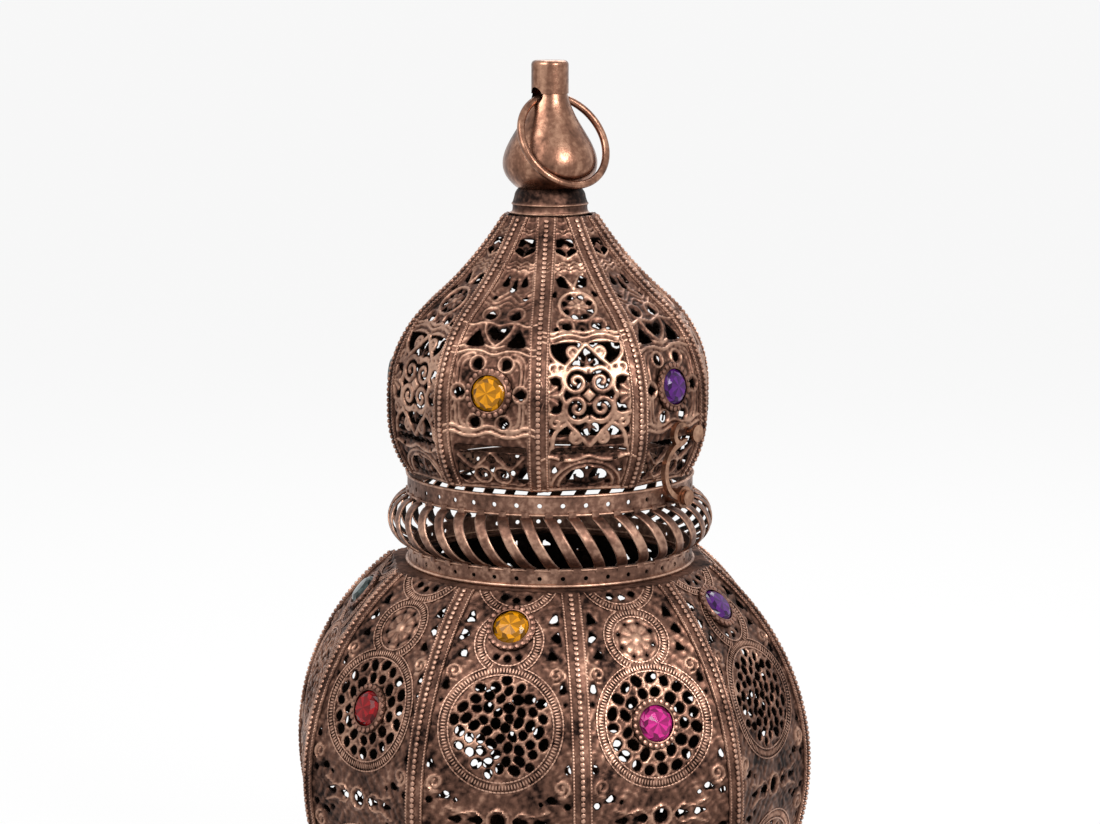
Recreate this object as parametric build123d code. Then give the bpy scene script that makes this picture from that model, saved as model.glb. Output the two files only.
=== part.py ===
from build123d import *
import math
import os

# Fanous table lantern in pierced antique-copper sheet. Millimetres, +Z up.
# The origin is on the floor under the lantern's axis. The latch faces -Y and the lid hinge +Y.

# Sheet and general clearances
sheet = 0.9
seam_gap = 0.2
lay_gap = 0.1
running_gap = 0.06

# Faceted bulb and dome
panel_count = 10
body_turn_deg = 10.7
rib_half_width = 4.6
rib_thickness = 1.3

# Foot and floor of the bulb
foot_height = 45.5
foot_rim_radius = 96.0
foot_rim_height = 6.0
foot_wall = 1.4
foot_ledge = 9.0
foot_setback = 3.0
floor_plate = 1.2
floor_overlap = 8.0

# Bulb
body_apothem = 125.0
body_end_apothem = 77.8
body_half_height = 99.5
body_flange = 12.0

# Neck: two bands with leaning slats between them
neck_setback = 6.3
band_wall = 0.9
low_band_height = 9.5
slat_zone_height = 25.5
top_band_height = 10.5
band_hole_radius = 1.1
slat_count = 40
slat_width = 5.6
slat_lean = 13.5
slat_bulge = 10.0

# Dome
lid_gap = 1.6
dome_inset = 4.1
dome_height = 126.7
dome_bulge = 9.8
dome_bulge_height = 30.4
dome_straight = 9.0
dome_shoulder_radius = 60.0
dome_hollow_radius = 184.0
dome_top_apothem = 21.4
dome_flange = 11.4
hoop_wall = 1.6
hoop_height = 5.0

# Jewels
gem_radius = 8.6
gem_table_radius = 5.2
gem_height = 4.6
bezel_outer_radius = 12.0
bezel_height = 2.4
bezel_gap = 0.15
dome_gem_height = 47.5
upper_gem_drop = 14.7
lower_gem_drop = 56.8

# Collar, finial and its fixing
collar_radius = 19.0
collar_height = 5.6
collar_step = 0.9
collar_step_height = 5.0
neck_disc_radius = 12.5
neck_disc_height = 2.6
pear_radius = 23.3
pear_height = 46.0
pear_foot_radius = 16.5
pear_top_radius = 8.6
pear_wide_rise = 13.5
pear_slope_radius = 15.6
pear_slope_rise = 30.0
pear_slim_radius = 10.6
pear_slim_rise = 39.5
cap_radius = 9.2
cap_height = 16.2
cap_round = 2.2
stud_radius = 3.0
stud_length = 20.0
nut_width = 10.0
nut_height = 5.0
washer_radius = 14.0
washer_height = 1.2

# Carry ring
ring_wire_radius = 1.9
ring_radius = 24.1
ring_eye_drop = 1.5
ring_eye_room = 2.8
ring_facing_deg = -105.0
ring_lean_deg = 29.0

# Lid hinge
hinge_width = 26.0
hinge_leaf = 1.3
hinge_leaf_height = 9.0
hinge_pin_radius = 1.3
hinge_wall = 1.3
hinge_offset = 4.2
hinge_side_gap = 0.2
hinge_pin_head = 1.2

# Latch: gate hook on the neck, stud on the dome
hook_wire = 2.6
hook_plate = 2.6
hook_standoff = 1.2
hook_eye_outer = 5.4
hook_pivot_radius = 2.1
hook_shoulder_radius = 3.8
hook_head_height = 2.2
hook_pivot_side = 5.4
hook_reach_x = -3.1
hook_reach_z = 31.3
hook_bow = 13.0
hook_curl_inner = 3.2
hook_park_deg = 20.0
stud_post_radius = 1.8
hook_mouth_gap = 1.2
stud_head_radius = 4.2
stud_head_height = 1.6
hook_end_gap = 0.3

# Candle cup
cup_bore_radius = 20.2
cup_wall = 1.2
cup_floor = 2.6
cup_depth = 15.0
cup_rivet_radius = 2.0
cup_rivet_head = 4.0
cup_rivet_head_height = 1.3

# Derived heights and radii
half_turn = 180.0 / panel_count
equator_z = foot_height + body_half_height
upper_gem_rise = body_half_height - upper_gem_drop
lower_gem_rise = body_half_height - lower_gem_drop
body_top_z = equator_z + body_half_height
body_draw_in = body_apothem - body_end_apothem
body_arc_radius = (body_half_height ** 2 + body_draw_in ** 2) / (2 * body_draw_in)
neck_radius = body_end_apothem - neck_setback
low_band_top = body_top_z + low_band_height
slat_top = low_band_top + slat_zone_height
top_band_top = slat_top + top_band_height
dome_foot_z = top_band_top + lid_gap
dome_foot_apothem = neck_radius - dome_inset
dome_apothem = dome_foot_apothem + dome_bulge
dome_top_z = dome_foot_z + dome_height
collar_top = dome_top_z + collar_height + collar_step_height
pear_foot_z = collar_top + neck_disc_height
pear_top_z = pear_foot_z + pear_height
finial_top = pear_top_z + cap_height
ring_eye_z = pear_top_z - ring_eye_drop
reach = 2.0 * body_apothem


def spot(radius, angle):
    """Point on a circle in the XZ plane's own coordinates, angle in degrees."""
    turn = math.radians(angle)
    return (radius * math.cos(turn), radius * math.sin(turn))


def turned(*points):
    """Solid of revolution about Z from a closed outline of (radius, height) points."""
    outline = make_face(Polyline(*points, close=True))
    return revolve(Plane.XZ * outline, Axis.Z)


def hoop(outer, inner, low, high):
    """Plain upright ring."""
    return Pos(0, 0, low) * extrude(Circle(outer) - Circle(inner), amount=high - low)


def around(solid, index, offset_deg=0.0):
    """Copy of a piece that faces +X, turned to its place on the facets."""
    return Rot(0, 0, offset_deg + index * 2 * half_turn) * solid


class Meridian:
    """Upright section of one facet: arcs from the bottom edge to the top edge.

    Each arc is (centre x, centre z, radius, start angle, end angle). A concave arc runs backwards,
    with its start angle above its end angle, and its centre lies outside the lantern.
    """

    def __init__(self, arcs):
        self.arcs = arcs

    def ends(self, arc, offset):
        """Start and end points of one arc, moved outwards by the offset."""
        centre_x, centre_z, radius, start, end = arc
        grown = radius + offset if end > start else radius - offset
        points = []
        for angle in (start, end):
            x, z = spot(grown, angle)
            points.append((centre_x + x, centre_z + z))
        return points

    def chain(self, offset):
        """Edges of the section at an offset, with straight runs between arcs that do not meet."""
        edges = []
        last = None
        for arc in self.arcs:
            centre_x, centre_z, radius, start, end = arc
            grown = radius + offset if end > start else radius - offset
            first, final = self.ends(arc, offset)
            middle = spot(grown, (start + end) / 2)
            via = (centre_x + middle[0], centre_z + middle[1])
            if last is not None and math.dist(last, first) > 1e-6:
                edges.append(Line(last, first))
            edges.append(ThreePointArc(first, via, final))
            last = final
        return edges

    def corner(self, top, offset):
        """Bottom or top end point of the section at an offset."""
        if top:
            return self.ends(self.arcs[-1], offset)[1]
        return self.ends(self.arcs[0], offset)[0]

    def strip(self, inner, outer):
        """Closed band between two offsets of the section."""
        sides = [Line(self.corner(False, inner), self.corner(False, outer)),
                 Line(self.corner(True, inner), self.corner(True, outer))]
        return make_face(self.chain(inner) + self.chain(outer) + sides)

    def core(self, offset):
        """Everything between the axis and the section at an offset."""
        low = self.corner(False, offset)
        high = self.corner(True, offset)
        sides = [Polyline(low, (0, low[1]), (0, high[1]), high)]
        return make_face(self.chain(offset) + sides)

    def at(self, height):
        """Apothem and normal elevation in degrees of the convex section at a height."""
        for centre_x, centre_z, radius, start, end in self.arcs:
            sine = (height - centre_z) / radius
            if end > start and abs(sine) < 1:
                angle = math.degrees(math.asin(sine))
                if start - 1e-6 <= angle <= end + 1e-6:
                    return centre_x + radius * math.cos(math.radians(angle)), angle
        return max(arc[0] + arc[2] for arc in self.arcs if arc[4] > arc[3]), 0.0


def body_meridian():
    """Bulb facet: one arc, even above and below its widest line."""
    swing = math.degrees(math.asin(body_half_height / body_arc_radius))
    return Meridian([(body_apothem - body_arc_radius, equator_z, body_arc_radius, -swing, swing)])


def dome_meridian():
    """Dome facet: a tucked-in foot, a short upright, a round shoulder and a hollow neck."""
    foot_radius = (dome_bulge_height ** 2 + dome_bulge ** 2) / (2 * dome_bulge)
    foot_swing = math.degrees(math.asin(dome_bulge_height / foot_radius))
    widest_z = dome_foot_z + dome_bulge_height
    shoulder_z = widest_z + dome_straight
    shoulder_x = dome_apothem - dome_shoulder_radius
    foot = (dome_apothem - foot_radius, widest_z, foot_radius, -foot_swing, 0.0)
    span = dome_shoulder_radius + dome_hollow_radius
    across = (dome_top_apothem - shoulder_x, dome_top_z - shoulder_z)
    far = math.hypot(across[0], across[1])
    near = (span ** 2 + far ** 2 - dome_hollow_radius ** 2) / (2 * span)
    turn = math.degrees(math.atan2(across[1], across[0]) - math.acos(near / far))
    shoulder = (shoulder_x, shoulder_z, dome_shoulder_radius, 0.0, turn)
    step = spot(span, turn)
    centre = (shoulder_x + step[0], shoulder_z + step[1])
    first = math.degrees(math.atan2(-step[1], -step[0]))
    last = math.degrees(math.atan2(dome_top_z - centre[1], dome_top_apothem - centre[0]))
    hollow = (centre[0], centre[1], dome_hollow_radius, first, last)
    return Meridian([foot, shoulder, hollow])


body_line = body_meridian()
dome_line = dome_meridian()

# Piercing, drawn in the YZ plane of a facet that faces +X
big_rosette_pitch = 22.2
big_rosette_holes = 14
big_rosette_hole = 2.8
mid_rosette_pitch = 14.9
mid_rosette_holes = 9
mid_rosette_hole = 2.5
heart_pitch = 8.2
heart_holes = 5
heart_hole = 2.8
small_ring_pitch = 14.6
small_ring_holes = 8
small_ring_hole = 1.6
corner_hole = 4.2
corner_side = 24.0
corner_lift = 26.3
waist_hole = 3.6
waist_side = 28.0
petal_pitch = 16.3
petal_hole = 2.6
slit_length = 25.0
slit_width = 2.8
slit_rise = 21.5
lens_long = 5.4
lens_short = 3.8
lens_side = 8.5
lens_rise = 11.0
scroll_hole = 5.0
scroll_side = 7.6
scroll_rise = 8.8
lozenge_hole = 2.8
lozenge_rise = 19.0
wing_hole = 2.4
wing_side = 17.0
brow_hole = 3.6
brow_side = 6.6
brow_rise = 70.0
crown_pitch = 6.2
crown_holes = 6
crown_hole = 1.5
crown_rise = 90.0
tip_hole = 2.0
tip_rise = 107.0


def holes_round(count, pitch, radius, height, start=0.0):
    """Ring of round holes about a point on the facet's centre line."""
    ring = []
    for index in range(count):
        side, rise = spot(pitch, start + index * 360.0 / count)
        ring.append(Pos(side, height + rise) * Circle(radius))
    return ring


def holes_pair(shape, side, height):
    """The same hole on both sides of the facet's centre line."""
    return [Pos(side, height) * shape, Pos(-side, height) * shape]


def body_piercing(gem_low):
    """Holes of one bulb facet: a large rosette and a small ring, repeated below the widest line."""
    holes = holes_pair(Circle(waist_hole), waist_side, equator_z)
    for way in (1, -1):
        rosette = equator_z + way * lower_gem_rise
        small = equator_z + way * upper_gem_rise
        corner = equator_z + way * (lower_gem_rise + corner_lift)
        holes += holes_round(big_rosette_holes, big_rosette_pitch, big_rosette_hole, rosette)
        holes += holes_round(mid_rosette_holes, mid_rosette_pitch, mid_rosette_hole, rosette, 90.0)
        if way < 0 or not gem_low:
            holes += holes_round(heart_holes, heart_pitch, heart_hole, rosette, 90.0)
        holes += holes_round(small_ring_holes, small_ring_pitch, small_ring_hole, small, 22.5)
        holes += holes_pair(RegularPolygon(corner_hole, 3, rotation=90 * way), corner_side, corner)
    return holes


def dome_piercing(with_gem):
    """Holes of one dome facet, with petals about a jewel or four scrolls in a lozenge."""
    middle = dome_foot_z + dome_gem_height
    brow = dome_foot_z + brow_rise
    crown = dome_foot_z + crown_rise
    holes = [Pos(0, dome_foot_z + slit_rise) * SlotOverall(slit_length, slit_width)]
    holes += holes_pair(Ellipse(lens_long, lens_short), lens_side, dome_foot_z + lens_rise)
    holes += holes_pair(RegularPolygon(brow_hole, 3, rotation=90), brow_side, brow)
    holes += [Pos(0, dome_foot_z + tip_rise) * Circle(tip_hole)]
    if with_gem:
        holes += holes_round(6, petal_pitch, petal_hole, middle, 30.0)
        holes += holes_pair(Circle(tip_hole), brow_side / 2, crown)
        return holes
    for way in (1, -1):
        holes += holes_pair(Circle(scroll_hole), scroll_side, middle + way * scroll_rise)
        holes += [Pos(0, middle + way * lozenge_rise) * Circle(lozenge_hole)]
    holes += holes_pair(Circle(wing_hole), wing_side, middle)
    holes += holes_round(crown_holes, crown_pitch, crown_hole, crown, 30.0)
    return holes


def wedge(inset):
    """Upright prism over one facet's share of the circle, drawn in by an inset on both sides."""
    tip = inset / math.sin(math.radians(half_turn))
    width = reach * math.tan(math.radians(half_turn))
    outline = make_face(Polyline((tip, 0), (tip + reach, width), (tip + reach, -width), close=True))
    return extrude(outline, amount=finial_top)


def facet(section, piercing):
    """Pierced sheet facet: a section drawn across, cut to its share and punched along X."""
    blank = extrude(Plane.XZ * section, amount=reach / 2, both=True)
    punch = extrude(Plane.YZ * Sketch(children=piercing), amount=reach)
    return (blank & wedge(seam_gap / 2)) - punch


def flange(line, top, width):
    """Edge of a facet turned in flat at its bottom or top end."""
    end = line.corner(top, 0.0)
    inner = line.corner(top, -sheet)
    away = -sheet if top else sheet
    return make_face(Polyline(end, (end[0] - width, end[1]), (end[0] - width, end[1] + away),
                              (inner[0], end[1] + away), inner, close=True))


def body_panel(gem_low):
    """Bulb facet with its bottom and top edges turned in."""
    section = body_line.strip(-sheet, 0.0)
    section += flange(body_line, False, body_flange) + flange(body_line, True, body_flange)
    return facet(section, body_piercing(gem_low))


def dome_panel(with_gem):
    """Dome facet with its top edge turned in under the collar."""
    section = dome_line.strip(-sheet, 0.0) + flange(dome_line, True, dome_flange)
    return facet(section, dome_piercing(with_gem))


def rib(line):
    """Folded strip over the seam between two facets, both wings lying on the sheet."""
    turn = math.radians(half_turn)
    along = (reach * math.cos(turn), reach * math.sin(turn))
    back = (rib_half_width * math.sin(turn), -rib_half_width * math.cos(turn))
    outline = make_face(Polyline((0, 0), along, (along[0] + back[0], along[1] + back[1]), back, close=True))
    lane = extrude(outline, amount=finial_top)
    blank = extrude(Plane.XZ * line.strip(lay_gap, lay_gap + rib_thickness), amount=reach / 2, both=True)
    wing = blank & lane
    fold = Plane(origin=(0, 0, 0), x_dir=(0, 0, 1), z_dir=(-math.sin(turn), math.cos(turn), 0))
    return Rot(0, 0, -half_turn) * (wing + mirror(wing, about=fold))


def seat(line, height):
    """Plane on a facet that faces +X, at a height on its centre line, looking out of the sheet."""
    apothem, lift = line.at(height)
    out = math.radians(lift)
    return Plane(origin=(apothem, 0, height), x_dir=(0, 1, 0), z_dir=(math.cos(out), 0, math.sin(out)))


def bezel(line, height):
    """Round setting with its foot shaped to the sheet."""
    inner = gem_radius + bezel_gap
    tube = Pos(0, 0, -bezel_height) * extrude(Circle(bezel_outer_radius) - Circle(inner), amount=2 * bezel_height)
    core = extrude(Plane.XZ * line.core(lay_gap), amount=2 * bezel_outer_radius, both=True)
    return seat(line, height) * tube - core


def gem(line, height):
    """Jewel with a flat back, a girdle and a sloping crown."""
    girdle = lay_gap + gem_height / 3
    outline = ((0, lay_gap), (gem_radius, lay_gap), (gem_radius, girdle),
               (gem_table_radius, lay_gap + gem_height), (0, lay_gap + gem_height))
    return seat(line, height) * turned(*outline)


def foot_ring():
    """Flared foot: a flat ledge under the bulb, a hollow curve and an upright rim."""
    top_radius = body_end_apothem - foot_setback
    ledge = (top_radius - foot_ledge, foot_height)
    under = foot_height - foot_wall
    rim_inner = foot_rim_radius - foot_wall
    outer = TangentArc((top_radius, foot_height), (foot_rim_radius, foot_rim_height), tangent=(0, -1))
    inner = TangentArc((top_radius - foot_wall, under), (rim_inner, foot_rim_height - foot_wall), tangent=(0, -1))
    rim = Polyline((foot_rim_radius, foot_rim_height), (foot_rim_radius, 0), (rim_inner, 0),
                   (rim_inner, foot_rim_height - foot_wall))
    shelf = Polyline((top_radius - foot_wall, under), (ledge[0], under), ledge, (top_radius, foot_height))
    return revolve(Plane.XZ * make_face([outer, inner, rim, shelf]), Axis.Z)


floor_low = foot_height + sheet
floor_top = floor_low + floor_plate
cup_floor_top = floor_top + cup_floor
rivet_hole = cup_rivet_radius + running_gap


def floor_disc():
    """Round floor lying on the facets' turned-in lower edges."""
    radius = body_end_apothem - body_flange + floor_overlap
    return hoop(radius, rivet_hole, floor_low, floor_top)


def candle_cup():
    """Open cup for a tea light."""
    outer = cup_bore_radius + cup_wall
    wall = hoop(outer, cup_bore_radius, cup_floor_top, cup_floor_top + cup_depth)
    step_z = cup_floor_top - cup_rivet_head_height
    base = hoop(outer, rivet_hole, floor_top, step_z)
    return wall + base + hoop(outer, cup_rivet_head + running_gap, step_z, cup_floor_top)


def cup_rivet():
    """Rivet that holds the cup to the floor, its upper head sunk flush in the cup."""
    head_seat = cup_floor_top - cup_rivet_head_height
    head_low = floor_low - cup_rivet_head_height
    return turned((0, head_low), (cup_rivet_head, head_low), (cup_rivet_head, floor_low),
                  (cup_rivet_radius, floor_low), (cup_rivet_radius, head_seat),
                  (cup_rivet_head, head_seat), (cup_rivet_head, cup_floor_top), (0, cup_floor_top))


def neck_band(low, high):
    """Plain band with a row of small punched holes, one to each slat."""
    band = hoop(neck_radius, neck_radius - band_wall, low, high)
    punch = Pos(neck_radius, 0, (low + high) / 2) * Rot(0, 90, 0) * Cylinder(band_hole_radius, 4 * band_wall)
    pitch = 360.0 / slat_count
    return band - [Rot(0, 0, index * pitch) * punch for index in range(slat_count)]


def slat():
    """One leaning slat: a bulged shell cut to a slanted strip."""
    middle = (low_band_top + slat_top) / 2
    inner = neck_radius - band_wall
    outside = ThreePointArc((neck_radius, low_band_top), (neck_radius + slat_bulge, middle), (neck_radius, slat_top))
    inside = ThreePointArc((inner, low_band_top), (inner + slat_bulge, middle), (inner, slat_top))
    ends = [Line((inner, low_band_top), (neck_radius, low_band_top)), Line((inner, slat_top), (neck_radius, slat_top))]
    shell = revolve(Plane.XZ * make_face([outside, inside] + ends), Axis.Z)
    half = slat_width / 2
    foot = slat_lean / 2
    outline = make_face(Polyline((foot - half, low_band_top), (foot + half, low_band_top),
                                 (half - foot, slat_top), (-half - foot, slat_top), close=True))
    return shell & extrude(Plane.YZ * outline, amount=reach)


def dome_hoop():
    """Wire-edged hoop inside the dome's lower edge."""
    outer = dome_foot_apothem - sheet / math.cos(math.radians(half_turn)) - lay_gap
    return hoop(outer, outer - hoop_wall, dome_foot_z, dome_foot_z + hoop_height)


stud_hole = stud_radius + running_gap
flange_under = dome_top_z - sheet


def dome_collar():
    """Stepped collar on the dome's turned-in top edge."""
    step_z = dome_top_z + collar_height
    step_radius = collar_radius - collar_step
    return turned((stud_hole, dome_top_z), (collar_radius, dome_top_z), (collar_radius, step_z),
                  (step_radius, step_z), (step_radius, collar_top), (stud_hole, collar_top))


def finial_washer():
    """Washer under the dome's top edge."""
    return hoop(washer_radius, stud_hole, flange_under - washer_height, flange_under)


def finial_nut():
    """Hexagon nut that draws the finial and collar down."""
    high = flange_under - washer_height
    blank = extrude(RegularPolygon(nut_width / 2, 6, major_radius=False) - Circle(stud_hole), amount=nut_height)
    return Pos(0, 0, high - nut_height) * blank


def finial():
    """Turned finial: a stud, a disc, a pear and a rounded cap, bored for the ring."""
    pear = Spline((pear_foot_radius, pear_foot_z), (pear_radius, pear_foot_z + pear_wide_rise),
                  (pear_slope_radius, pear_foot_z + pear_slope_rise),
                  (pear_slim_radius, pear_foot_z + pear_slim_rise), (pear_top_radius, pear_top_z))
    lower = Polyline((pear_foot_radius, pear_foot_z), (neck_disc_radius, pear_foot_z), (neck_disc_radius, collar_top),
                     (stud_radius, collar_top), (stud_radius, collar_top - stud_length),
                     (0, collar_top - stud_length), (0, finial_top), (cap_radius - cap_round, finial_top))
    turn = math.sqrt(0.5) * cap_round
    crown = ThreePointArc((cap_radius - cap_round, finial_top),
                          (cap_radius - cap_round + turn, finial_top - cap_round + turn),
                          (cap_radius, finial_top - cap_round))
    upper = Polyline((cap_radius, finial_top - cap_round), (cap_radius, pear_top_z), (pear_top_radius, pear_top_z))
    body = revolve(Plane.XZ * make_face([pear, lower, crown, upper]), Axis.Z)
    bore = Rot(0, 0, ring_facing_deg) * Pos(0, 0, ring_eye_z) * Rot(90, 0, 0)
    return body - bore * Cylinder(ring_wire_radius + ring_eye_room, 4 * cap_radius)


def carry_ring():
    """Wire ring through the finial, leaning out over the pear."""
    lean = math.radians(ring_lean_deg)
    centre = (ring_radius * math.sin(lean), 0, ring_eye_z - ring_radius * math.cos(lean))
    plane = Plane(origin=centre, x_dir=(0, 1, 0), z_dir=(math.cos(lean), 0, math.sin(lean)))
    return Rot(0, 0, ring_facing_deg) * (plane * Torus(ring_radius, ring_wire_radius))


hinge_x = neck_radius + hinge_offset
hinge_z = (top_band_top + dome_foot_z) / 2
knuckle_radius = hinge_pin_radius + hinge_wall
knuckle_width = hinge_width / 3


def lying(radius, low, high):
    """Cylinder along Y on the hinge axis of a hinge that faces +X."""
    return Pos(hinge_x, (low + high) / 2, hinge_z) * Rot(90, 0, 0) * Cylinder(radius, high - low)


def block(x_low, x_high, y_low, y_high, z_low, z_high):
    """Box between two corners."""
    size = (x_high - x_low, y_high - y_low, z_high - z_low)
    middle = ((x_high + x_low) / 2, (y_high + y_low) / 2, (z_high + z_low) / 2)
    return Pos(*middle) * Box(*size)


def hinge_lower():
    """Leaf on the neck's top band with the two outer knuckles."""
    half = hinge_width / 2
    seat_radius = neck_radius + lay_gap
    face = seat_radius + hinge_leaf
    leaf = block(neck_radius / 2, face, -half, half, top_band_top - hinge_leaf_height, top_band_top)
    for low, high in ((-half, -knuckle_width / 2), (knuckle_width / 2, half)):
        leaf += block(seat_radius, hinge_x, low, high, top_band_top - knuckle_radius, hinge_z)
        leaf += lying(knuckle_radius, low, high)
    back = Pos(0, 0, top_band_top) * Cylinder(seat_radius, 4 * hinge_leaf_height)
    return leaf - back - lying(hinge_pin_radius + running_gap, -hinge_width, hinge_width)


def hinge_upper():
    """Leaf on the dome's rear facet with the middle knuckle."""
    half = hinge_width / 2
    lane = knuckle_width / 2 - hinge_side_gap
    skin = extrude(Plane.XZ * dome_line.strip(lay_gap, lay_gap + hinge_leaf), amount=half, both=True)
    leaf = skin & block(0, reach, -half, half, dome_foot_z, dome_foot_z + hinge_leaf_height)
    leaf += lying(knuckle_radius, -lane, lane)
    leaf += block(dome_foot_apothem + lay_gap, hinge_x, -lane, lane, hinge_z, hinge_z + knuckle_radius)
    core = extrude(Plane.XZ * dome_line.core(lay_gap), amount=half, both=True)
    return leaf - core - lying(hinge_pin_radius + running_gap, -hinge_width, hinge_width)


def hinge_pin():
    """Headed pin through all three knuckles."""
    end = hinge_width / 2 + hinge_side_gap
    pin = lying(hinge_pin_radius, -end, end)
    return pin + lying(knuckle_radius, end, end + hinge_pin_head) + lying(knuckle_radius, -end - hinge_pin_head, -end)


hook_back = dome_apothem + hook_standoff
hook_front = hook_back + hook_plate
hook_pivot = (hook_pivot_side, (slat_top + top_band_top) / 2)
hook_curl_outer = hook_curl_inner + hook_wire
hook_throw = math.hypot(hook_reach_x, hook_reach_z)
hook_angle = math.degrees(math.atan2(hook_reach_z, hook_reach_x))


def front(sketch, low, high):
    """Extrusion of a sketch drawn as seen from the front, between two distances from the axis."""
    return extrude(Plane(origin=(0, -low, 0), x_dir=(1, 0, 0), z_dir=(0, -1, 0)) * sketch, amount=high - low)


def latch_hook():
    """Bowed gate hook: an eye on the neck, a bent shank and an open curl."""
    curl = (hook_pivot[0] + hook_reach_x, hook_pivot[1] + hook_reach_z)
    side = spot(hook_bow, hook_angle + 90.0)
    bend = ((hook_pivot[0] + curl[0]) / 2 + side[0], (hook_pivot[1] + curl[1]) / 2 + side[1])
    stem = ThreePointArc(hook_pivot, bend, (curl[0], curl[1] - hook_curl_inner - hook_wire / 2))
    shank = trace(stem, hook_wire)
    shape = shank + Pos(*hook_pivot) * Circle(hook_eye_outer) + Pos(*curl) * Circle(hook_curl_outer)
    mouth = 2 * (stud_post_radius + hook_mouth_gap)
    open_side = Pos(hook_curl_outer, 0) * Rectangle(2 * hook_curl_outer, mouth)
    cut = Pos(*curl) * Rot(0, 0, hook_angle - 90.0) * open_side
    shape = shape - cut - Pos(*curl) * Circle(hook_curl_inner)
    shape -= Pos(*hook_pivot) * Circle(hook_pivot_radius + running_gap)
    return front(shape, hook_back, hook_front)


def hook_rivet():
    """Shouldered rivet on the neck's top band that carries the hook."""
    at = Pos(*hook_pivot)
    head = hook_front + hook_end_gap
    rivet = front(at * Circle(hook_shoulder_radius), neck_radius / 2, hook_back - hook_end_gap)
    rivet += front(at * Circle(hook_pivot_radius), neck_radius / 2, head)
    rivet += front(at * Circle(hook_shoulder_radius), head, head + hook_head_height)
    back = Pos(0, 0, top_band_top) * Cylinder(neck_radius + lay_gap, 4 * top_band_height)
    return rivet - back


def latch_stud():
    """Headed stud on the front dome facet, reached by the hook's curl when it is swung shut."""
    place = spot(hook_throw, hook_angle - hook_park_deg)
    at = Pos(hook_pivot[0] + place[0], hook_pivot[1] + place[1])
    head = hook_front + hook_end_gap
    stud = front(at * Circle(stud_post_radius), dome_apothem / 2, head)
    stud += front(at * Circle(stud_head_radius), head, head + stud_head_height)
    core = extrude(Plane.XZ * dome_line.core(lay_gap), amount=dome_apothem / 2, both=True)
    return stud - Rot(0, 0, -90) * core

# Places on the facets: number 0 faces the latch, and the numbers run counter-clockwise from above
front_deg = -90.0
body_front_deg = front_deg + body_turn_deg
rear_deg = 90.0
dome_gem_z = dome_foot_z + dome_gem_height
upper_gem_z = equator_z + upper_gem_rise
lower_gem_z = equator_z + lower_gem_rise
dome_gem_places = {"purple": 0, "red": 2, "pink": 4, "teal": 6, "amber": 8}
upper_gem_places = {"purple": 0, "red": 2, "pink": 4, "teal": 6, "amber": 8}
lower_gem_places = {"purple": 1, "teal": 3, "amber": 5, "red": 7, "pink": 9}


def facets(nodes, name, plain, jewelled, offset_deg):
    """Add one node for each facet, with jewelled sheets on the even places."""
    for index in range(panel_count):
        sheet_piece = jewelled if index % 2 == 0 else plain
        nodes[f"{name}_{index + 1:02d}"] = [around(sheet_piece, index, offset_deg)]


def rib_set(line, offset_deg):
    """All ribs of the dome or the bulb, one over each seam."""
    strip = rib(line)
    return [around(strip, index + 0.5, offset_deg) for index in range(panel_count)]


def lantern():
    """All nodes of the lantern, each a list of solids."""
    nodes = {
        "foot_ring": [foot_ring()],
        "floor_disc": [floor_disc()],
        "candle_cup": [candle_cup()],
        "cup_rivet": [cup_rivet()],
        "neck_low_band": [neck_band(body_top_z, low_band_top)],
        "neck_top_band": [neck_band(slat_top, top_band_top)],
        "dome_hoop": [dome_hoop()],
        "dome_collar": [dome_collar()],
        "finial": [finial()],
        "finial_washer": [finial_washer()],
        "finial_nut": [finial_nut()],
        "carry_ring": [carry_ring()],
        "hinge_lower_leaf": [Rot(0, 0, rear_deg) * hinge_lower()],
        "hinge_upper_leaf": [Rot(0, 0, rear_deg) * hinge_upper()],
        "hinge_pin": [Rot(0, 0, rear_deg) * hinge_pin()],
        "latch_hook": [latch_hook()],
        "hook_rivet": [hook_rivet()],
        "latch_stud": [latch_stud()],
    }
    facets(nodes, "body_panel", body_panel(True), body_panel(False), body_front_deg)
    facets(nodes, "dome_panel", dome_panel(False), dome_panel(True), front_deg)
    nodes["body_ribs"] = rib_set(body_line, body_front_deg)
    nodes["dome_ribs"] = rib_set(dome_line, front_deg)

    one_slat = slat()
    nodes["neck_slats"] = [Rot(0, 0, index * 360.0 / slat_count) * one_slat for index in range(slat_count)]

    settings = ((dome_line, dome_gem_z, dome_gem_places, front_deg, "dome"),
                (body_line, upper_gem_z, upper_gem_places, body_front_deg, "body"),
                (body_line, lower_gem_z, lower_gem_places, body_front_deg, "body"))
    for line, height, places, offset_deg, where in settings:
        stone = gem(line, height)
        setting = bezel(line, height)
        for colour, index in places.items():
            nodes.setdefault(f"{where}_gem_{colour}", []).append(around(stone, index, offset_deg))
            nodes.setdefault(f"{where}_bezels", []).append(around(setting, index, offset_deg))
    return nodes


def main():
    """Write one file for each node."""
    os.makedirs("parts", exist_ok=True)
    for name, pieces in lantern().items():
        solids = [solid for piece in pieces for solid in piece.solids()]
        shape = solids[0] if len(solids) == 1 else Compound(children=solids)
        export_step(shape, f"parts/{name}.step")


if __name__ == "__main__":
    main()
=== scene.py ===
import functools
import logging
import math
from dataclasses import dataclass, field, replace
from enum import Enum

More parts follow.
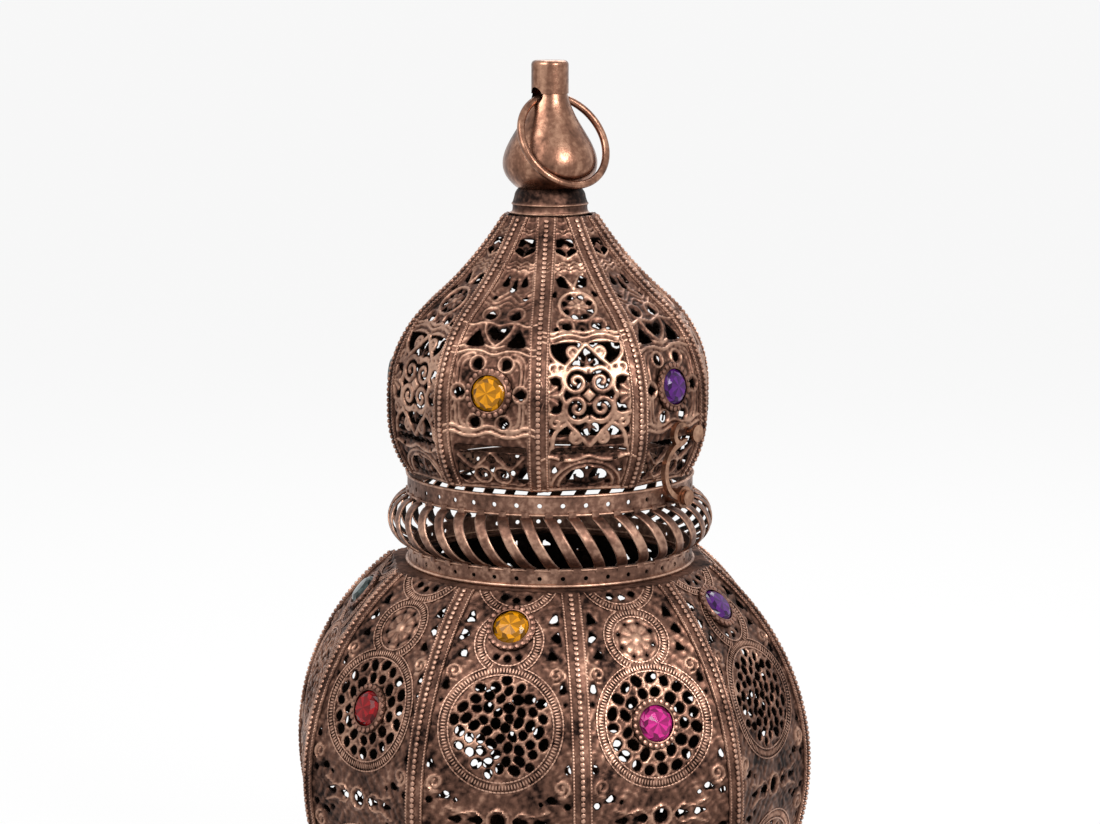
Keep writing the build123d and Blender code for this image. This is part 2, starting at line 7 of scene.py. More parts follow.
import bpy
import numpy as np
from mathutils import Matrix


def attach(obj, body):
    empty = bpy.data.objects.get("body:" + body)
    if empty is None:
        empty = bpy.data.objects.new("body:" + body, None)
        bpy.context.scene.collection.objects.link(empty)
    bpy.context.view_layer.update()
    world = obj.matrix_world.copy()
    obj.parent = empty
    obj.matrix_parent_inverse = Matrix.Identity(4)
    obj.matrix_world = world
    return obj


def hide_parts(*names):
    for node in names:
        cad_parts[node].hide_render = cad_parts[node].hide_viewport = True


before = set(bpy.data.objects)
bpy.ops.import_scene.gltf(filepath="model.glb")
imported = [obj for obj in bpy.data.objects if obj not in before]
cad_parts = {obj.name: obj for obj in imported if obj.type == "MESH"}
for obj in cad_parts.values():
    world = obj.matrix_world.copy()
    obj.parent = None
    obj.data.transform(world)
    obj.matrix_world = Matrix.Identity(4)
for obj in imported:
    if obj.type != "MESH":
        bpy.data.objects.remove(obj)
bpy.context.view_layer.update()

LOG = logging.getLogger("fanous")
Array = np.ndarray
Outline = tuple[tuple[float, float], ...]
Colour = tuple[float, float, float]
Socket = bpy.types.NodeSocket
MM = 0.001
FULL = 2 * math.pi
UP = np.array([0.0, 0.0, 1.0])
WHITE = (1.0, 1.0, 1.0, 1.0)
FACETS = 10
FACET_TURN = 360.0 / FACETS
HALF_TURN = math.pi / FACETS
BODY_FACING = -79.3
DOME_FACING = -90.0
BOTH = (1.0, -1.0)
ROUND_SHADED = 60.0
FLAT_SHADED = 0.0


class Rider(Enum):
    """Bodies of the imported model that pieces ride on."""

    BODY = "lantern_body"
    LID = "lid"


class Slot(Enum):
    """Material slots of the record."""

    ANTIQUE = "antique_copper"
    TURNED = "turned_copper"
    DARK = "dark_copper"


class Jewel(Enum):
    """Colours of the jewels, as linear red, green and blue."""

    amber = (0.66, 0.26, 0.003)
    purple = (0.085, 0.010, 0.16)
    teal = (0.06, 0.085, 0.082)
    red = (0.29, 0.005, 0.008)
    pink = (0.55, 0.022, 0.22)


# Meshes


@dataclass
class Surface:
    """Points in mm with faces of four and three corners, and a tone from worn (1) to tarnished (0); on the
    collar and the jewels the tone also holds painted highlight and painted shade.
    """

    points: Array
    quads: Array
    tris: Array = field(default_factory=lambda: np.zeros((0, 3), int))
    tone: Array | None = None

    def toned(self, value: float | Array) -> "Surface":
        """The same surface with its tone set, one number or one for each point."""
        self.tone = np.broadcast_to(np.asarray(value, float), (len(self.points),)).copy()
        return self

    def moved(self, origin: Array, axes: Array) -> "Surface":
        """The same surface in another place: each point is the origin plus its parts along three axes."""
        return Surface(origin + self.points @ axes, self.quads, self.tris, self.tone)

    def welded(self) -> "Surface":
        """Merge points that coincide, and turn faces with a repeated corner into triangles.

        Returns:
            The surface with closed seams and poles.
        """
        _, first, back = np.unique(np.round(self.points, 4), axis=0, return_index=True, return_inverse=True)
        back = back.reshape(-1)
        quads = back[self.quads]
        same = quads == np.roll(quads, -1, axis=1)
        single = same.sum(axis=1) == 1
        folded = quads[single][~same[single]].reshape(-1, 3)
        tris = np.vstack([back[self.tris], folded])
        tone = None if self.tone is None else self.tone[first]
        return Surface(self.points[first], quads[~same.any(axis=1)], tris, tone)


def joined(surfaces: list[Surface]) -> Surface:
    """One surface from several.

    Args:
        surfaces: Surfaces to lay side by side.

    Returns:
        All points and faces, with the face corners counted on.
    """
    counts = np.cumsum([0] + [len(s.points) for s in surfaces[:-1]])
    points = np.vstack([s.points for s in surfaces])
    quads = np.vstack([s.quads + n for s, n in zip(surfaces, counts)])
    tris = np.vstack([s.tris + n for s, n in zip(surfaces, counts)])
    tones = [np.full(len(s.points), 0.5) if s.tone is None else s.tone for s in surfaces]
    return Surface(points, quads, tris, np.concatenate(tones))


def grid_quads(rows: int, cols: int, ring: bool = False) -> Array:
    """Faces of a grid of points, counter-clockwise where columns run right and rows run up.

    Args:
        rows: Number of rows.
        cols: Number of columns.
        ring: Whether the last column joins the first.

    Returns:
        Corner numbers, four to a face.
    """
    across = np.arange(cols if ring else cols - 1)
    low = np.arange(rows - 1)[:, None] * cols
    right = (across + 1) % cols
    corners = np.stack([low + across, low + right, low + cols + right, low + cols + across], axis=-1)
    return corners.reshape(-1, 4)


def tube(grid: Array, ring: bool = False, capped: bool = False) -> Surface:
    """Skin over rows of points, each row a closed loop.

    Args:
        grid: Rows of points, last axis x, y, z.
        ring: Whether the last row joins the first.
        capped: Whether both ends get a fan of faces about their middle.

    Returns:
        The tube-like surface.
    """
    rows, cols = grid.shape[:2]
    points = grid.reshape(-1, 3)
    quads = grid_quads(rows + ring, cols, True) % len(points)
    tris = np.zeros((0, 3), int)
    if capped:
        here, total = np.arange(cols), np.full(cols, len(points))
        ahead = (here + 1) % cols
        last = (rows - 1) * cols
        tris = np.vstack([np.stack([total, ahead, here], axis=1),
                          np.stack([total + 1, last + here, last + ahead], axis=1)])
        points = np.vstack([points, grid[[0, -1]].mean(axis=1)])
    return Surface(points, quads, tris)


def circle(count: int) -> Array:
    """Even directions round the upright axis."""
    angle = np.arange(count) * FULL / count
    return np.stack([np.cos(angle), np.sin(angle), np.zeros(count)], axis=1)


def facing_axes(degrees: float) -> tuple[Array, Array]:
    """Level directions ahead of and to the right of a thing that faces an angle, seen from outside."""
    cos, sin = math.cos(math.radians(degrees)), math.sin(math.radians(degrees))
    return np.array([cos, sin, 0.0]), np.array([-sin, cos, 0.0])


def revolved(profile: Array, steps: int) -> Surface:
    """Turn a profile about the upright axis.

    Each profile point (r, z) at the angle a gives (r cos a, r sin a, z).

    Args:
        profile: Rows of radius and height, going up on the outside.
        steps: Number of columns round the axis.

    Returns:
        The turned surface.
    """
    grid = profile[:, :1, None] * circle(steps) + profile[:, 1:, None] * UP
    return Surface(grid.reshape(-1, 3), grid_quads(len(profile), steps, True)).welded()


def carried(path: Array, side: Array, out: Array, profile: Array, ring: bool = False,
            capped: bool = False) -> Surface:
    """Carry a closed profile along a path.

    The profile point (x, y) at a path point p gives p + x side + y out.

    Args:
        path: Path points.
        side: Unit direction of the profile's x, one or one at each path point.
        out: Unit direction of the profile's y, likewise.
        profile: Closed outline, counter-clockwise seen against the path's direction.
        ring: Whether the path closes on itself.
        capped: Whether both ends get a face.

    Returns:
        The tube-like surface.
    """
    side, out = (np.broadcast_to(way, path.shape)[:, None] for way in (side, out))
    return tube(path[:, None] + profile[:, :1] * side + profile[:, 1:] * out, ring, capped)


def oval(width: float, height: float, power: float = 2.0, bend: int = 3) -> Array:
    """Closed outline |2x/w|^p + |2y/h|^p = 1.

    Args:
        width: Full width.
        height: Full height.
        power: 2 for an ellipse, more for squarer corners.
        bend: Points in each quarter.

    Returns:
        Points, clockwise.
    """
    wave = circle(4 * bend)[::-1, :2]
    return 0.5 * np.array([width, height]) * np.sign(wave) * np.abs(wave) ** (2.0 / power)


def unit(vectors: Array) -> Array:
    """Vectors scaled to length 1."""
    return vectors / np.maximum(np.linalg.norm(vectors, axis=-1, keepdims=True), 1e-12)


def beads(points: Array, normals: Array, radius: float, height: float = 0.9, sides: int = 6,
          along: Array | None = None, stretch: float = 1.0) -> Surface:
    """Small domes standing on a surface, round or drawn out one way.

    Each dome is a ring of points sunk at its foot, a narrower ring higher up and a tip, set along the normal.
    Its tone runs from tarnished at the foot to worn at the tip.

    Args:
        points: Foot of each dome.
        normals: Direction of each dome.
        radius: Foot radius.
        height: Height as a share of the radius.
        sides: Corners of each ring.
        along: Direction in which each dome is drawn out.
        stretch: Its length as a share of its width.

    Returns:
        All domes as one surface.
    """
    foot_sink, shoulder, shoulder_height = 0.25, 0.82, 0.55
    foot_tone, shoulder_tone, tip_tone = 0.1, 0.75, 1.0
    aside = np.where(np.abs(normals[:, 2:]) < 0.9, [UP], [[1.0, 0.0, 0.0]])
    east = unit(np.cross(aside, normals)) if along is None else unit(along)
    round_plan = circle(sides) * [stretch, 1.0, 0.0]
    plan = np.vstack([round_plan - foot_sink * UP, shoulder * round_plan + shoulder_height * height * UP,
                      [height * UP]])
    axes = np.stack([east, np.cross(normals, east), normals], axis=1)
    grid = points[:, None] + radius * (plan @ axes)
    start = np.arange(len(points))[:, None, None] * len(plan)
    here = np.arange(sides)
    tip = np.stack([sides + here, sides + (here + 1) % sides, np.full(sides, 2 * sides)], axis=1)
    tone = np.tile(np.repeat([foot_tone, shoulder_tone, tip_tone], [sides, sides, 1]), len(points))
    quads = (start + grid_quads(2, sides, True)).reshape(-1, 4)
    return Surface(grid.reshape(-1, 3), quads, (start + tip).reshape(-1, 3), tone)


def piece(name: str, surface: Surface, finish: "Finish", rider: Rider, nodes: tuple[str, ...] = (),
          smooth: float = 40.0, walled: bool = False) -> None:
    """Make an object from a surface, dress it, and tie it to its body.

    Args:
        name: Object name.
        surface: Points and faces in mm.
        finish: Finish of the outside.
        rider: Body that it moves with.
        nodes: Nodes that it stands for.
        smooth: Edges sharper than this angle stay crisp; 0 leaves the faces flat.
        walled: Whether it gets the sheet's thickness inwards, with painted shade on its inner side: a
            near-black finish for the dark inside of the lantern.
    """
    mesh = bpy.data.meshes.new(name)
    corners = np.concatenate([surface.quads.ravel(), surface.tris.ravel()]).astype(np.int32)
    quads, tris = len(surface.quads), len(surface.tris)
    starts = np.concatenate([np.arange(quads) * 4, quads * 4 + np.arange(tris) * 3]).astype(np.int32)
    mesh.vertices.add(len(surface.points))
    mesh.vertices.foreach_set("co", (surface.points * MM).astype(np.float32).ravel())
    mesh.loops.add(len(corners))
    mesh.loops.foreach_set("vertex_index", corners)
    mesh.polygons.add(quads + tris)
    mesh.polygons.foreach_set("loop_start", starts)
    mesh.update(calc_edges=True)
    mesh.validate()
    tone = mesh.attributes.new("tone", "FLOAT", "POINT")
    tone.data.foreach_set("value", joined([surface]).tone.astype(np.float32))
    mesh.polygons.foreach_set("use_smooth", np.full(len(mesh.polygons), smooth > 0))
    if smooth > 0:
        mesh.set_sharp_from_angle(angle=math.radians(smooth))
    obj = bpy.data.objects.new(name, mesh)
    bpy.context.scene.collection.objects.link(obj)
    mesh.materials.append(finish_material(finish))
    if walled:
        # The inner side takes a near-black finish: painted shade for the dark inside of the lantern.
        mesh.materials.append(finish_material(INSIDE_SHADE))
        shell = obj.modifiers.new("wall", "SOLIDIFY")
        shell.thickness = SIZES.sheet * MM
        shell.offset = -1.0
        shell.use_even_offset = False
        shell.material_offset = 1
        shell.material_offset_rim = 0
    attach(obj, rider.value)
    if nodes:
        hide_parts(*nodes)
    LOG.info("%s: %d faces on %s", name, quads + tris, rider.value)


# Finishes


class NodeSheet:
    """Node tree under construction."""

    def __init__(self, owner: bpy.types.Material | bpy.types.World) -> None:
        """Start with an empty tree on a material or a world."""
        owner.use_nodes = True
        self.tree = owner.node_tree
        self.tree.nodes.clear()

    def add(self, kind: str, inputs: dict, **settings: object) -> bpy.types.Node:
        """Add a node.

        Args:
            kind: Node type.
            inputs: Values or sockets by input name or number.
            **settings: Attributes of the node.

        Returns:
            The node.
        """
        node = self.tree.nodes.new(kind)
        for key, value in settings.items():
            setattr(node, key, value)
        for key, value in inputs.items():
            if isinstance(value, Socket):
                self.tree.links.new(value, node.inputs[key])
            else:
                node.inputs[key].default_value = value
        return node

    def math(self, kind: str, *numbers: float | Socket) -> Socket:
        """Outcome of a sum over numbers or sockets."""
        return self.add("ShaderNodeMath", dict(enumerate(numbers)), operation=kind).outputs[0]

    def noise(self, where: Socket, scale: float, detail: float) -> Socket:
        """Cloudy noise of a scale per metre."""
        return self.add("ShaderNodeTexNoise", {"Vector": where, "Scale": scale, "Detail": detail}).outputs[0]

    def tone(self) -> Socket:
        """Tone of the surface."""
        return self.add("ShaderNodeAttribute", {}, attribute_name="tone").outputs["Fac"]

    def mixed(self, share: Socket, first: Socket, second: Socket) -> Socket:
        """Mix of two shaders by the share of the second."""
        return self.add("ShaderNodeMixShader", {0: share, 1: first, 2: second}).outputs[0]

    def seen(self) -> Socket:
        """1 on rays from the camera, in reflections and through glass, otherwise 0."""
        path = self.add("ShaderNodeLightPath", {}).outputs
        indirect = self.math("MAXIMUM", path["Is Glossy Ray"], path["Is Transmission Ray"])
        return self.math("MAXIMUM", path["Is Camera Ray"], indirect)

    def ramp(self, value: Socket, stops: Colour, colours: tuple[Colour, ...]) -> Socket:
        """Three colours laid along a number.

        Args:
            value: The number.
            stops: Places of the colours.
            colours: The colours.

        Returns:
            The colour at the number.
        """
        node = self.add("ShaderNodeValToRGB", {0: value})
        bar = node.color_ramp.elements
        bar.new(stops[1])
        for element, place, colour in zip(bar, stops, colours):
            element.position = place
            element.color = (*colour, 1.0)
        return node.outputs[0]


class Finish:
    """A finish that draws its material once."""

    name: str

    def draw(self, sheet: NodeSheet) -> Socket:
        """Lay the nodes of the finish and give their shader."""
        raise NotImplementedError


@functools.cache
def finish_material(finish: Finish) -> bpy.types.Material:
    """Draw a finish into a material at its first use.

    Args:
        finish: The finish.

    Returns:
        Its material.
    """
    material = bpy.data.materials.new(finish.name)
    sheet = NodeSheet(material)
    sheet.add("ShaderNodeOutputMaterial", {"Surface": finish.draw(sheet)})
    return material


@dataclass(frozen=True)
class Metal(Finish):
    """Aged metal: bright where it is handled, tarnished in its hollows, clouded all over.

    The tone of the surface plus two clouds of noise picks the colour between tarnish, body and worn, and the
    gloss. On the collar the tone also holds painted shade and painted highlight.
    """

    name: str
    worn: Colour
    body: Colour
    tarnish: Colour
    gloss: float = 0.34
    dull: float = 0.62
    cloud: float = 55.0
    cloud_share: float = 0.5
    speck: float = 420.0
    speck_share: float = 0.3
    grain: float = 1092.0
    tone_share: float = 0.8
    streak: float = 1.0
    pit: float = 0.12
    pit_depth: float = 0.0004
    cloud_detail: float = 4.0
    fine_detail: float = 2.0
    stops: Colour = (0.12, 0.5, 0.92)
    gloss_from: float = 0.1
    gloss_to: float = 0.9

    def draw(self, sheet: NodeSheet) -> Socket:
        """Lay the nodes of the metal.

        The level is the tone's share about one half, plus each noise's share about zero.

        Args:
            sheet: The material's tree.

        Returns:
            The shader.
        """
        where = sheet.add("ShaderNodeTexCoord", {}).outputs["Object"]
        drawn = sheet.add("ShaderNodeMapping", {"Vector": where, "Scale": (1.0, 1.0, self.streak)}).outputs[0]
        level = 0.5 * (1.0 - self.tone_share) - self.cloud_share - self.speck_share
        level = sheet.math("MULTIPLY_ADD", sheet.tone(), self.tone_share, level)
        cloud = sheet.noise(drawn, self.cloud, self.cloud_detail)
        speck, grain = (sheet.noise(where, scale, self.fine_detail) for scale in (self.speck, self.grain))
        level = sheet.math("MULTIPLY_ADD", cloud, 2.0 * self.cloud_share, level)
        level = sheet.math("MULTIPLY_ADD", speck, 2.0 * self.speck_share, level)
        colour = sheet.ramp(level, self.stops, (self.tarnish, self.body, self.worn))
        rough = sheet.add("ShaderNodeMapRange", {0: level, 1: self.gloss_from, 2: self.gloss_to, 3: self.dull,
                                                 4: self.gloss})
        bump = sheet.add("ShaderNodeBump", {"Height": grain, "Strength": self.pit,
                                            "Distance": self.pit_depth})
        return sheet.add("ShaderNodeBsdfPrincipled",
                         {"Base Color": colour, "Roughness": rough.outputs[0], "Metallic": 1.0,
                          "Normal": bump.outputs[0]}).outputs[0]


@dataclass(frozen=True)
class Glass(Finish):
    """Coloured jewel, each cut face between deep and light by its tone, which holds painted reflections and
    painted shade.
    """

    name: str
    colour: Colour
    # Shares of the colour from the darkest painted shade to the lightest painted reflection in the facets.
    shares: Colour = (0.16, 0.5, 0.95)
    stops: Colour = (0.1, 0.5, 0.9)
    rough: float = 0.05
    bend: float = 1.38
    shine: float = 0.35

    def draw(self, sheet: NodeSheet) -> Socket:
        """Lay the nodes of the jewel.

        Args:
            sheet: The material's tree.

        Returns:
            The shader.
        """
        # Deep, middle and light colour for the painted shade and painted reflections in the facets.
        shades = tuple(tuple(share * part for part in self.colour) for share in self.shares)
        colour = sheet.ramp(sheet.tone(), self.stops, shades)
        return sheet.add("ShaderNodeBsdfPrincipled",
                         {"Base Color": colour, "Roughness": self.rough, "IOR": self.bend,
                          "Specular IOR Level": self.shine}).outputs[0]


@dataclass(frozen=True)
class PaleFloor(Finish):
    """Pale floor that glows white where it is seen and takes light as paper does."""

    name: str = "pale_floor"
    pale: float = 0.85
    rough: float = 0.9
    glow: float = 0.88

    def draw(self, sheet: NodeSheet) -> Socket:
        """Lay the nodes of the floor.

        Args:
            sheet: The material's tree.

        Returns:
            The shader.
        """
        paper = sheet.add("ShaderNodeBsdfPrincipled", {"Base Color": (self.pale, self.pale, self.pale, 1.0),
                                                       "Roughness": self.rough})
        glow = sheet.add("ShaderNodeEmission", {"Color": WHITE, "Strength": 1.0})
        share = sheet.math("MULTIPLY", sheet.seen(), self.glow)
        return sheet.mixed(share, paper.outputs[0], glow.outputs[0])


COPPER = Metal("aged_copper", (0.48, 0.280, 0.195), (0.145, 0.072, 0.050), (0.012, 0.007, 0.006))
BAR_COPPER = Metal("rubbed_copper", (0.49, 0.292, 0.204), (0.130, 0.063, 0.044), (0.010, 0.006, 0.005))
BEAD_COPPER = Metal("beaded_copper", (0.52, 0.31, 0.225), (0.165, 0.082, 0.056), (0.010, 0.006, 0.005))
TURNED_COPPER = Metal("turned_copper", (0.58, 0.33, 0.22), (0.22, 0.108, 0.070), (0.030, 0.014, 0.010),
                      gloss=0.20, dull=0.40, cloud=130.0, cloud_share=0.6, streak=0.12, tone_share=0.5)
BAND_COPPER = Metal("band_copper", (0.62, 0.375, 0.265), (0.170, 0.088, 0.062), (0.012, 0.007, 0.006))
DARK_COPPER = Metal("dark_copper", (0.34, 0.18, 0.13), (0.07, 0.032, 0.022), (0.006, 0.004, 0.003), gloss=0.3)
# Brighter copy of the copper for the latch: partly its own rubbed colour, partly painted light that lifts it
# out of the shade it hangs in.
HANDLED_AND_LIT_COPPER = Metal("handled_and_lit_copper", (0.66, 0.41, 0.27), (0.32, 0.170, 0.108), (0.04, 0.020, 0.014),
                       gloss=0.2, dull=0.45, cloud=140.0)
FLANGE_COPPER = replace(COPPER, name="flange_copper", gloss=0.7, dull=0.9)
# Painted shade: near-black finish on the inner side of every walled sheet, for the dark inside of the
# lantern.
INSIDE_SHADE = Metal("painted_inside_shade", (0.05, 0.028, 0.02), (0.018, 0.010, 0.007), (0.004, 0.003, 0.002),
             gloss=0.6, dull=0.85)
STEEL = Metal("dull_steel", (0.50, 0.49, 0.47), (0.24, 0.23, 0.22), (0.05, 0.042, 0.038), gloss=0.35)
CUP_SHEET = Metal("dark_sheet", (0.30, 0.18, 0.13), (0.09, 0.052, 0.038), (0.012, 0.008, 0.006), gloss=0.45)


# Facets: a flat-across sheet that follows an upright section


@dataclass(frozen=True)
class Arc:
    """One arc of a section in mm and degrees; it is hollow where it runs backwards."""

    x: float
    z: float
    radius: float
    start: float
    end: float
    samples: int = 300

    def sampled(self) -> Array:
        """Points along the arc: its centre plus the radius times the cosine and sine of the angle.

        Returns:
            Rows of distance from the axis, height and outward direction.
        """
        angle = np.radians(np.linspace(self.start, self.end, self.samples))
        way = 1.0 if self.end > self.start else -1.0
        wave = np.stack([np.cos(angle), np.sin(angle)], axis=1)
        return np.hstack([np.array([self.x, self.z]) + self.radius * wave, way * wave])


@dataclass(frozen=True)
class Section:
    """Upright section of a facet, arcs from its bottom edge to its top edge."""

    arcs: tuple[Arc, ...]

    @functools.cached_property
    def table(self) -> Array:
        """Rows of run, distance from the axis, height and outward direction, straight between arcs."""
        rows = np.vstack([arc.sampled() for arc in self.arcs])
        step = np.linalg.norm(np.diff(rows[:, :2], axis=0), axis=1)
        return np.hstack([np.concatenate([[0.0], np.cumsum(step)])[:, None], rows])

    @property
    def length(self) -> float:
        """Run from the bottom edge to the top edge."""
        return float(self.table[-1, 0])

    def at(self, run: Array) -> tuple[Array, ...]:
        """Distance from the axis, height and both parts of the outward direction at a run."""
        return tuple(np.interp(run, self.table[:, 0], self.table[:, part]) for part in range(1, 5))

    def run_at(self, height: float) -> float:
        """Run along the section up to a height."""
        return float(np.interp(height, self.table[:, 2], self.table[:, 0]))

    def half_width(self, run: Array) -> Array:
        """Half the width of the facet at a run."""
        return self.at(run)[0] * math.tan(HALF_TURN)

    def place(self, facing: float, across: Array, run: Array,
              lift: Array | float = 0.0) -> tuple[Array, Array]:
        """Points on the facet that faces an angle, and their outward directions.

        Args:
            facing: Direction of the facet in degrees.
            across: Distance to the right of its centre line, seen from outside.
            run: Run from its bottom edge.
            lift: Height above the sheet.

        Returns:
            Points and directions, last axis x, y, z.
        """
        far, height, out, up = (part[..., None] for part in self.at(run))
        ahead, right = facing_axes(facing)
        normal = out * ahead + up * UP
        flat = far * ahead + across[..., None] * right + height * UP
        return flat + np.asarray(lift)[..., None] * normal, normal


def round_path(points: Outline, steps: int = 8) -> Array:
    """Smooth path through points: each span is a cubic whose ends lean along the neighbours.

    Args:
        points: Points of the path.
        steps: Points added to each span.

    Returns:
        The path's points.
    """
    p = np.asarray(points, float)
    p = np.vstack([2 * p[0] - p[1], p, 2 * p[-1] - p[-2]])
    t = np.linspace(0.0, 1.0, steps, endpoint=False)[:, None]
    a, b, c, d = (p[k:len(p) - 3 + k, None] for k in range(4))
    bend, twist = 2 * a - 5 * b + 4 * c - d, 3 * b - a - 3 * c + d
    spans = 0.5 * (2 * b + (c - a) * t + bend * t ** 2 + twist * t ** 3)
    return np.vstack([spans.reshape(-1, 2), p[-2]])


def scroll(centre: tuple[float, float], wide: float, tight: float, start: float, turn: float,
           steps: int) -> Array:
    """Spiral path whose radius shrinks evenly from wide to tight while it turns.

    Args:
        centre: Middle of the spiral.
        wide: Radius where it starts.
        tight: Radius where it ends.
        start: Angle where it starts, in degrees.
        turn: Angle turned through.
        steps: Number of points.

    Returns:
        The path's points.
    """
    angle = np.radians(start + np.linspace(0.0, turn, steps))
    radius = np.linspace(wide, tight, steps)
    return np.array(centre) + radius[:, None] * np.stack([np.cos(angle), np.sin(angle)], axis=1)


def ring_path(run: float, radius: float, start: float = 0.0, steps: int = 90) -> Array:
    """Circle about a run on a facet's centre line, as a path."""
    return scroll((0.0, run), radius, radius, start, 360.0, steps)


def spaced(path: Array, pitch: float) -> Array:
    """Points at even steps along a path.

    Args:
        path: Points of the path.
        pitch: Distance between points, rounded so that they come out even.

    Returns:
        The points.
    """
    run = np.concatenate([[0.0], np.cumsum(np.linalg.norm(np.diff(path, axis=0), axis=1))])
    count = max(2, int(round(run[-1] / pitch)))
    want = (np.arange(count) + 0.5) * run[-1] / count
    return np.stack([np.interp(want, run, path[:, part]) for part in range(path.shape[1])], axis=1)


class Tracery:
    """Drawing on a facet: where there is metal and how high it stands.

    The drawing is a grid of spots. Metal is the signed distance to the nearest edge, above zero in the metal,
    and relief is the height above the flat sheet. Every shape gives its own signed distance, above zero
    inside it, and is mirrored to both sides of the centre line.
    """

    far: float = 99.0
    near_reach: float = 6.0
    margin: float = 0.3
    drop_taper: float = 0.92
    edge_roll: float = 0.4
    snap_share: float = 0.55
    flat_tone: float = 0.34
    relief_tone: float = 0.55 / 0.9
    roll_tone: float = 0.25

    def __init__(self, section: Section, pitch: float) -> None:
        """Lay out the grid over a facet.

        Args:
            section: The facet's section.
            pitch: Distance between spots.
        """
        self.section = section
        run = np.linspace(0.0, section.length, int(section.length / pitch))
        reach = float(section.half_width(run).max())
        self.u, self.s = np.meshgrid(np.linspace(-reach, reach, 2 * int(reach / pitch) + 1), run)
        self.side = np.abs(self.u)
        self.edge = section.half_width(self.s) - self.margin - self.side
        self.metal = np.full(self.u.shape, self.far)
        self.relief = np.zeros(self.u.shape)

    def polar(self, s: float) -> tuple[Array, Array]:
        """Distance and angle of every spot about a run on the centre line."""
        return np.hypot(self.u, self.s - s), np.arctan2(self.s - s, self.u)

    def disc(self, u: float, s: float, radius: float) -> Array:
        """Round spot."""
        return radius - np.hypot(self.side - u, self.s - s)

    def slit(self, s: float, half: float, tall: float) -> Array:
        """Level slit across the centre line, by half its width and half its height."""
        return np.minimum(half - self.side, tall - np.abs(self.s - s))

    def path(self, points: Array, width: float) -> Array:
        """Bar along a path: half its width less the distance to the nearest straight step.

        Args:
            points: The path.
            width: Full width of the bar.

        Returns:
            Signed distance, a large one for spots far from the path.
        """
        reach = width + self.near_reach
        low, high = points.min(axis=0) - reach, points.max(axis=0) + reach
        near = (self.side > low[0]) & (self.side < high[0]) & (self.s > low[1]) & (self.s < high[1])
        spots = np.stack([self.side[near], self.s[near]], axis=1)[:, None]
        first, step = points[:-1], np.diff(points, axis=0)
        size = np.maximum((step ** 2).sum(axis=1), 1e-9)
        share = np.clip(((spots - first) * step).sum(axis=2) / size, 0.0, 1.0)
        best = np.full(self.u.shape, -self.far)
        best[near] = width / 2 - np.linalg.norm(spots - first - share[..., None] * step, axis=2).min(axis=1)
        return best

    def stem(self, points: Outline, width: float) -> Array:
        """Bar along a smooth path through points."""
        return self.path(round_path(points), width)

    def area(self, points: Outline) -> Array:
        """Area inside a closed outline: a spot is inside where an odd number of sides lie to its right.

        Args:
            points: Corners of the outline.

        Returns:
            Signed distance.
        """
        loop = np.array([*points, points[0]])
        gap = -self.path(loop, 0.0)
        inside = np.zeros(gap.shape, bool)
        for (u0, s0), (u1, s1) in zip(loop[:-1], loop[1:]):
            if s0 != s1:
                cross = (self.s > s0) != (self.s > s1)
                inside ^= cross & (self.side < u0 + (self.s - s0) * (u1 - u0) / (s1 - s0))
        return np.where(inside, gap, -gap)

    def drop(self, u: float, s: float, length: float, width: float, lean: float, both: bool = True) -> Array:
        """Teardrop from a round end to a point: a bar whose width falls evenly to a sliver along its length.

        Args:
            u: Place of the round end across the facet.
            s: Its place along the facet.
            length: Length from there to the point.
            width: Width at the round end.
            lean: Direction of the point in degrees.
            both: Whether it is mirrored.

        Returns:
            Signed distance.
        """
        across, along = (self.side if both else self.u) - u, self.s - s
        cos, sin = math.cos(math.radians(lean)), math.sin(math.radians(lean))
        x, y = across * cos + along * sin, along * cos - across * sin
        run = np.clip(x, 0.0, length)
        return width / 2 * (1.0 - self.drop_taper * run / length) - np.hypot(x - run, y)

    def cut(self, *shapes: Array) -> None:
        """Take shapes out of the metal."""
        self.metal = np.minimum(self.metal, -np.max(shapes, axis=0))

    def lay(self, *shapes: Array) -> None:
        """Put bars and plates over openings."""
        self.metal = np.maximum(self.metal, np.max(shapes, axis=0))

    def pierce(self, *marks: tuple[float, ...]) -> None:
        """Cut round holes (place and radius) and teardrops (place, length, width and lean)."""
        self.cut(*(self.disc(*mark) if len(mark) == 3 else self.drop(*mark) for mark in marks))

    def open_up(self, *outlines: Outline) -> None:
        """Cut closed outlines."""
        self.cut(*(self.area(outline) for outline in outlines))

    def swell(self, height: Array) -> None:
        """Raise the relief to a height where it is lower."""
        self.relief = np.maximum(self.relief, height)

    def ridge(self, shape: Array, height: float, soft: float) -> None:
        """Raise a shape by a height, rising as a quarter circle over a soft edge."""
        rise = np.clip(shape / soft, 0.0, 1.0)
        self.swell(height * np.sqrt(rise * (2.0 - rise)))

    def vein(self, points: Outline, width: float, height: float, soft: float) -> None:
        """Raise a bar along a smooth path through points."""
        self.ridge(self.stem(points, width), height, soft)

    def hoop(self, u: float, s: float, radius: float, half: float = 0.75, height: float = 0.8,
             soft: float = 0.65) -> None:
        """Raise a round wire of half a width about a place."""
        self.ridge(half - np.abs(self.disc(u, s, radius)), height, soft)

    def line(self, level: Array | float, half: float, height: float, soft: float) -> None:
        """Raise a line of half a width across the facet at a level."""
        self.ridge(half - np.abs(self.s - level), height, soft)

    def emboss(self, height: float, size: float) -> None:
        """Raise low curling foliage on metal that is still flat.

        The height is the product of two waves across and along the sheet, each bent by the other's direction.

        Args:
            height: Height of the foliage.
            size: Distance between leaves.
        """
        k = FULL / size
        bend = 1.3 * np.sin(0.63 * k * self.s) + 0.9 * np.cos(0.41 * k * self.side)
        leaf = np.sin(k * self.side + bend) * np.cos(0.83 * k * self.s - bend)
        plain = np.clip(1.0 - self.relief / 0.2, 0.0, 1.0)
        self.relief = self.relief + height * plain * np.clip(leaf, -0.35, 1.0)

